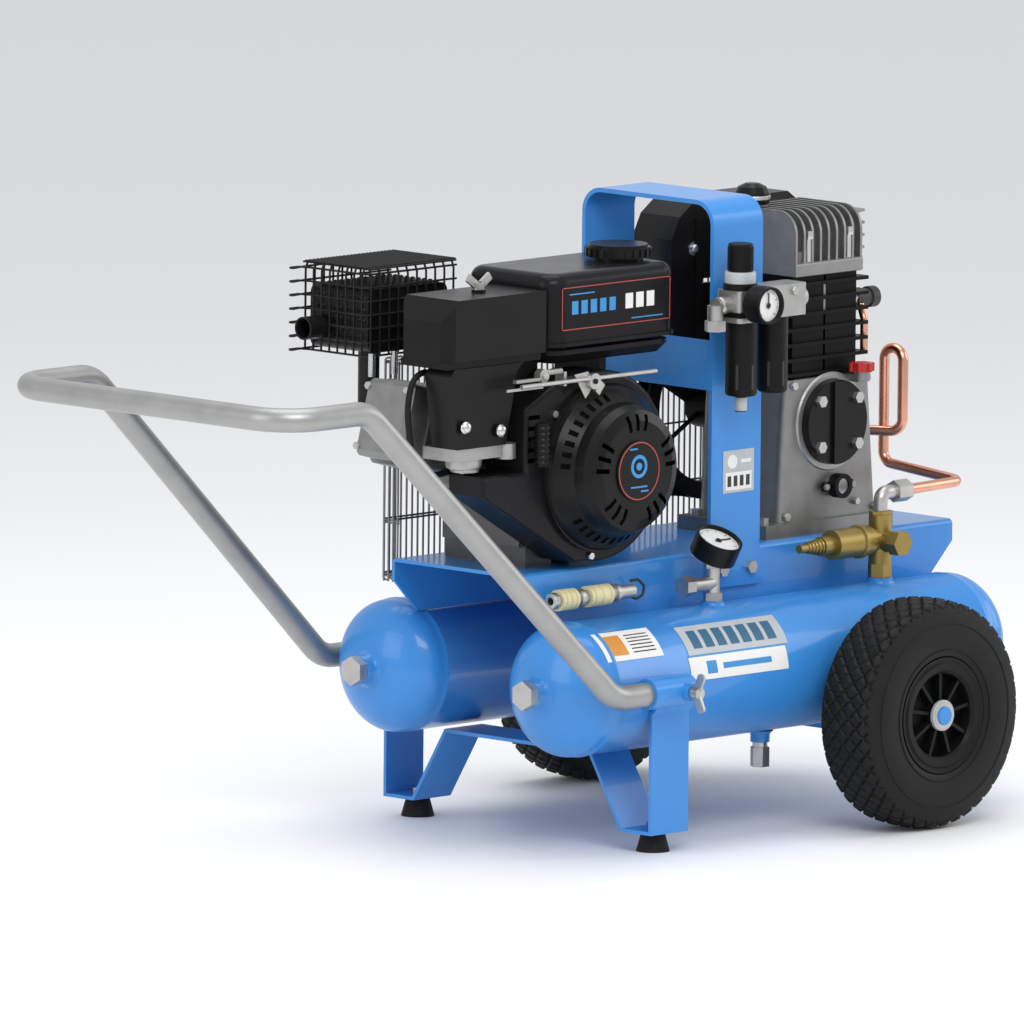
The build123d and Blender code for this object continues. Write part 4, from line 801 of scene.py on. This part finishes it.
couple = Kit()
couple.lathe([(4.6, 0), (8.6, 0), (9.4, 1.4), (9.4, 7), (4.6, 7)], (-86, -118, 283), (1, 0, 0), 48)
couple.make("coupler_mouth", "zinc")
hook = [(52, -105, 276), (58, -112, 272), (68, -113, 276), (70, -113, 286), (62, -111, 294), (54, -106, 292)]
wires("cable_hook", [rounded(hook, 5, 5)], 1.6, "ink")
PILOT_Z = 308
pilot = Kit()
pilot.lathe([(17.2, 0), (19, 1), (19, 6), (17.2, 7)], (400, -TANK_Y, PILOT_Z), (-1, 0, 0), 48)
for i in range(5):
    inner, outer = 9 - i * 0.8, 9.8 - i * 0.8
    pilot.lathe([(inner, 0), (outer, 1), (inner, 2)], (333 - 4.6 * i, -TANK_Y, PILOT_Z), (-1, 0, 0), 32)
pilot.make("pilot_rings", "brass")


# ---------------------------------------------------------------- labels


def curved_label(name, x0, x1, a0, a1, key, lift):
    """Thin label wrapped on the near tank between two angles above the horizontal."""
    strips, r = 16, TANK_R + lift
    verts, faces = [], []
    for i in range(strips + 1):
        a = math.radians(a0 + (a1 - a0) * i / strips)
        y, z = -TANK_Y - r * math.cos(a), TANK_Z + r * math.sin(a)
        verts += [(x0, y, z), (x1, y, z)]
    for i in range(strips):
        faces.append((2 * i, 2 * i + 1, 2 * i + 3, 2 * i + 2))
    add_mesh(name, verts, faces, key)


curved_label("maker_plate", 52, 212, 26.5, 56, "plate", 0.35)
curved_label("maker_band", 50, 208, 24.6, 26.5, "sky", 0.4)
curved_label("maker_lower", 49, 206, 4.5, 24.6, "white", 0.4)
for step in range(7):
    curved_label("maker_bars_%d" % step, 64 + 20 * step, 78 + 20 * step, 32, 50, "navy", 0.6)
curved_label("lower_bar", 102, 180, 12, 17, "sky", 0.55)
curved_label("lower_block", 76, 92, 9, 20, "sky", 0.55)
curved_label("side_plate", -76, 14, 30, 61, "white", 0.4)
curved_label("side_block", -69, -38, 35, 56, "amber", 0.55)
for step in range(6):
    curved_label("side_line_%d" % step, -30, 6, 36 + 3.6 * step, 37.2 + 3.6 * step, "ink", 0.55)

# Small plate on the hoop's near leg.
LEG_Y = -102.2
leg = Kit()
leg.box(207, 257, LEG_Y - 0.5, LEG_Y, 376, 424)
leg.make("leg_plate", "plate", "frame", False)
leg_mark = Kit()
leg_mark.box(211, 253, LEG_Y - 0.65, LEG_Y, 379, 399)
leg_mark.disc(8, (222, LEG_Y, 411), OUT_Y, 0.7)
leg_mark.box(236, 252, LEG_Y - 0.65, LEG_Y, 409, 413)
leg_mark.make("leg_plate_marks", "white", "frame", False)
leg_ink = Kit()
for step in range(4):
    leg_ink.box(214 + 10 * step, 220 + 10 * step, LEG_Y - 0.75, LEG_Y, 383, 395)
leg_ink.make("leg_plate_bars", "ink", "frame", False)


# ---------------------------------------------------------------- stage


FLOOR_HALF = 30
floor_mat = bpy.data.materials.new("floor_pale")
floor_mat.use_nodes = True
floor_shader = floor_mat.node_tree.nodes["Principled BSDF"]
floor_shader.inputs["Base Color"].default_value = (0.92, 0.92, 0.92, 1)
floor_shader.inputs["Roughness"].default_value = 0.55
floor_mesh = bpy.data.meshes.new("floor")
floor_mesh.from_pydata([(-FLOOR_HALF, -FLOOR_HALF, 0), (FLOOR_HALF, -FLOOR_HALF, 0),
                        (FLOOR_HALF, FLOOR_HALF, 0), (-FLOOR_HALF, FLOOR_HALF, 0)], [], [(0, 1, 2, 3)])
floor = bpy.data.objects.new("floor", floor_mesh)
floor_mesh.materials.append(floor_mat)
bpy.context.scene.collection.objects.link(floor)


def area_light(name, at, aim, size, power):
    """Rectangular light at a point, turned to aim at another; metres and watts."""
    data = bpy.data.lights.new(name, "AREA")
    data.shape = "RECTANGLE"
    data.size, data.size_y = size
    data.energy = power
    obj = bpy.data.objects.new(name, data)
    bpy.context.scene.collection.objects.link(obj)
    obj.location = at
    obj.rotation_euler = (Vector(aim) - Vector(at)).to_track_quat("-Z", "Y").to_euler()


area_light("key", (-1.6, -2.6, 2.9), (0, 0, 0.35), (2.2, 1.6), 62)
area_light("fill", (3.2, -1.6, 1.5), (0.1, 0, 0.35), (1.8, 1.8), 22)
area_light("left", (-3.2, 0.6, 1.5), (0, 0, 0.35), (1.6, 2.0), 20)
area_light("top", (0.2, 0.3, 3.2), (0.1, 0, 0.3), (2.4, 2.4), 40)

bpy.context.scene.view_settings.view_transform = "Standard"
world = bpy.data.worlds.new("studio")
bpy.context.scene.world = world
world.use_nodes = True
sky = world.node_tree.nodes["Background"]
sky.inputs["Color"].default_value = (0.96, 0.97, 1.0, 1)
sky.inputs["Strength"].default_value = 0.74

# The camera's direction and roll, its scale in pixels for each metre at the target, and its distance.
THETA, LIFT, ROLL = math.radians(46.03), math.radians(7.67), math.radians(0.571)
SCALE, AWAY = 891.63, 27.645
FRAME_PX, SENSOR_MM = 1024, 36
TARGET = Vector((0.119, 0, 0.25))
right = Vector((math.cos(THETA), -math.sin(THETA), 0))
up = Vector((math.sin(THETA) * math.sin(LIFT), math.cos(THETA) * math.sin(LIFT), math.cos(LIFT)))
ahead = Vector((math.sin(THETA) * math.cos(LIFT), math.cos(THETA) * math.cos(LIFT), -math.sin(LIFT)))
cam_right = right * math.cos(ROLL) + up * math.sin(ROLL)
cam_up = -right * math.sin(ROLL) + up * math.cos(ROLL)
cam_at = TARGET + cam_right * (-89.31 / SCALE) + cam_up * (91.16 / SCALE) - ahead * AWAY
cam_data = bpy.data.cameras.new("camera")
cam_data.sensor_width = SENSOR_MM
cam_data.lens = SENSOR_MM * SCALE * AWAY / FRAME_PX
cam_data.clip_end = 200
camera = bpy.data.objects.new("camera", cam_data)
bpy.context.scene.collection.objects.link(camera)
cam_turn = Matrix((cam_right, cam_up, -ahead)).transposed()
camera.matrix_world = Matrix.Translation(cam_at) @ cam_turn.to_4x4()
bpy.context.scene.camera = camera
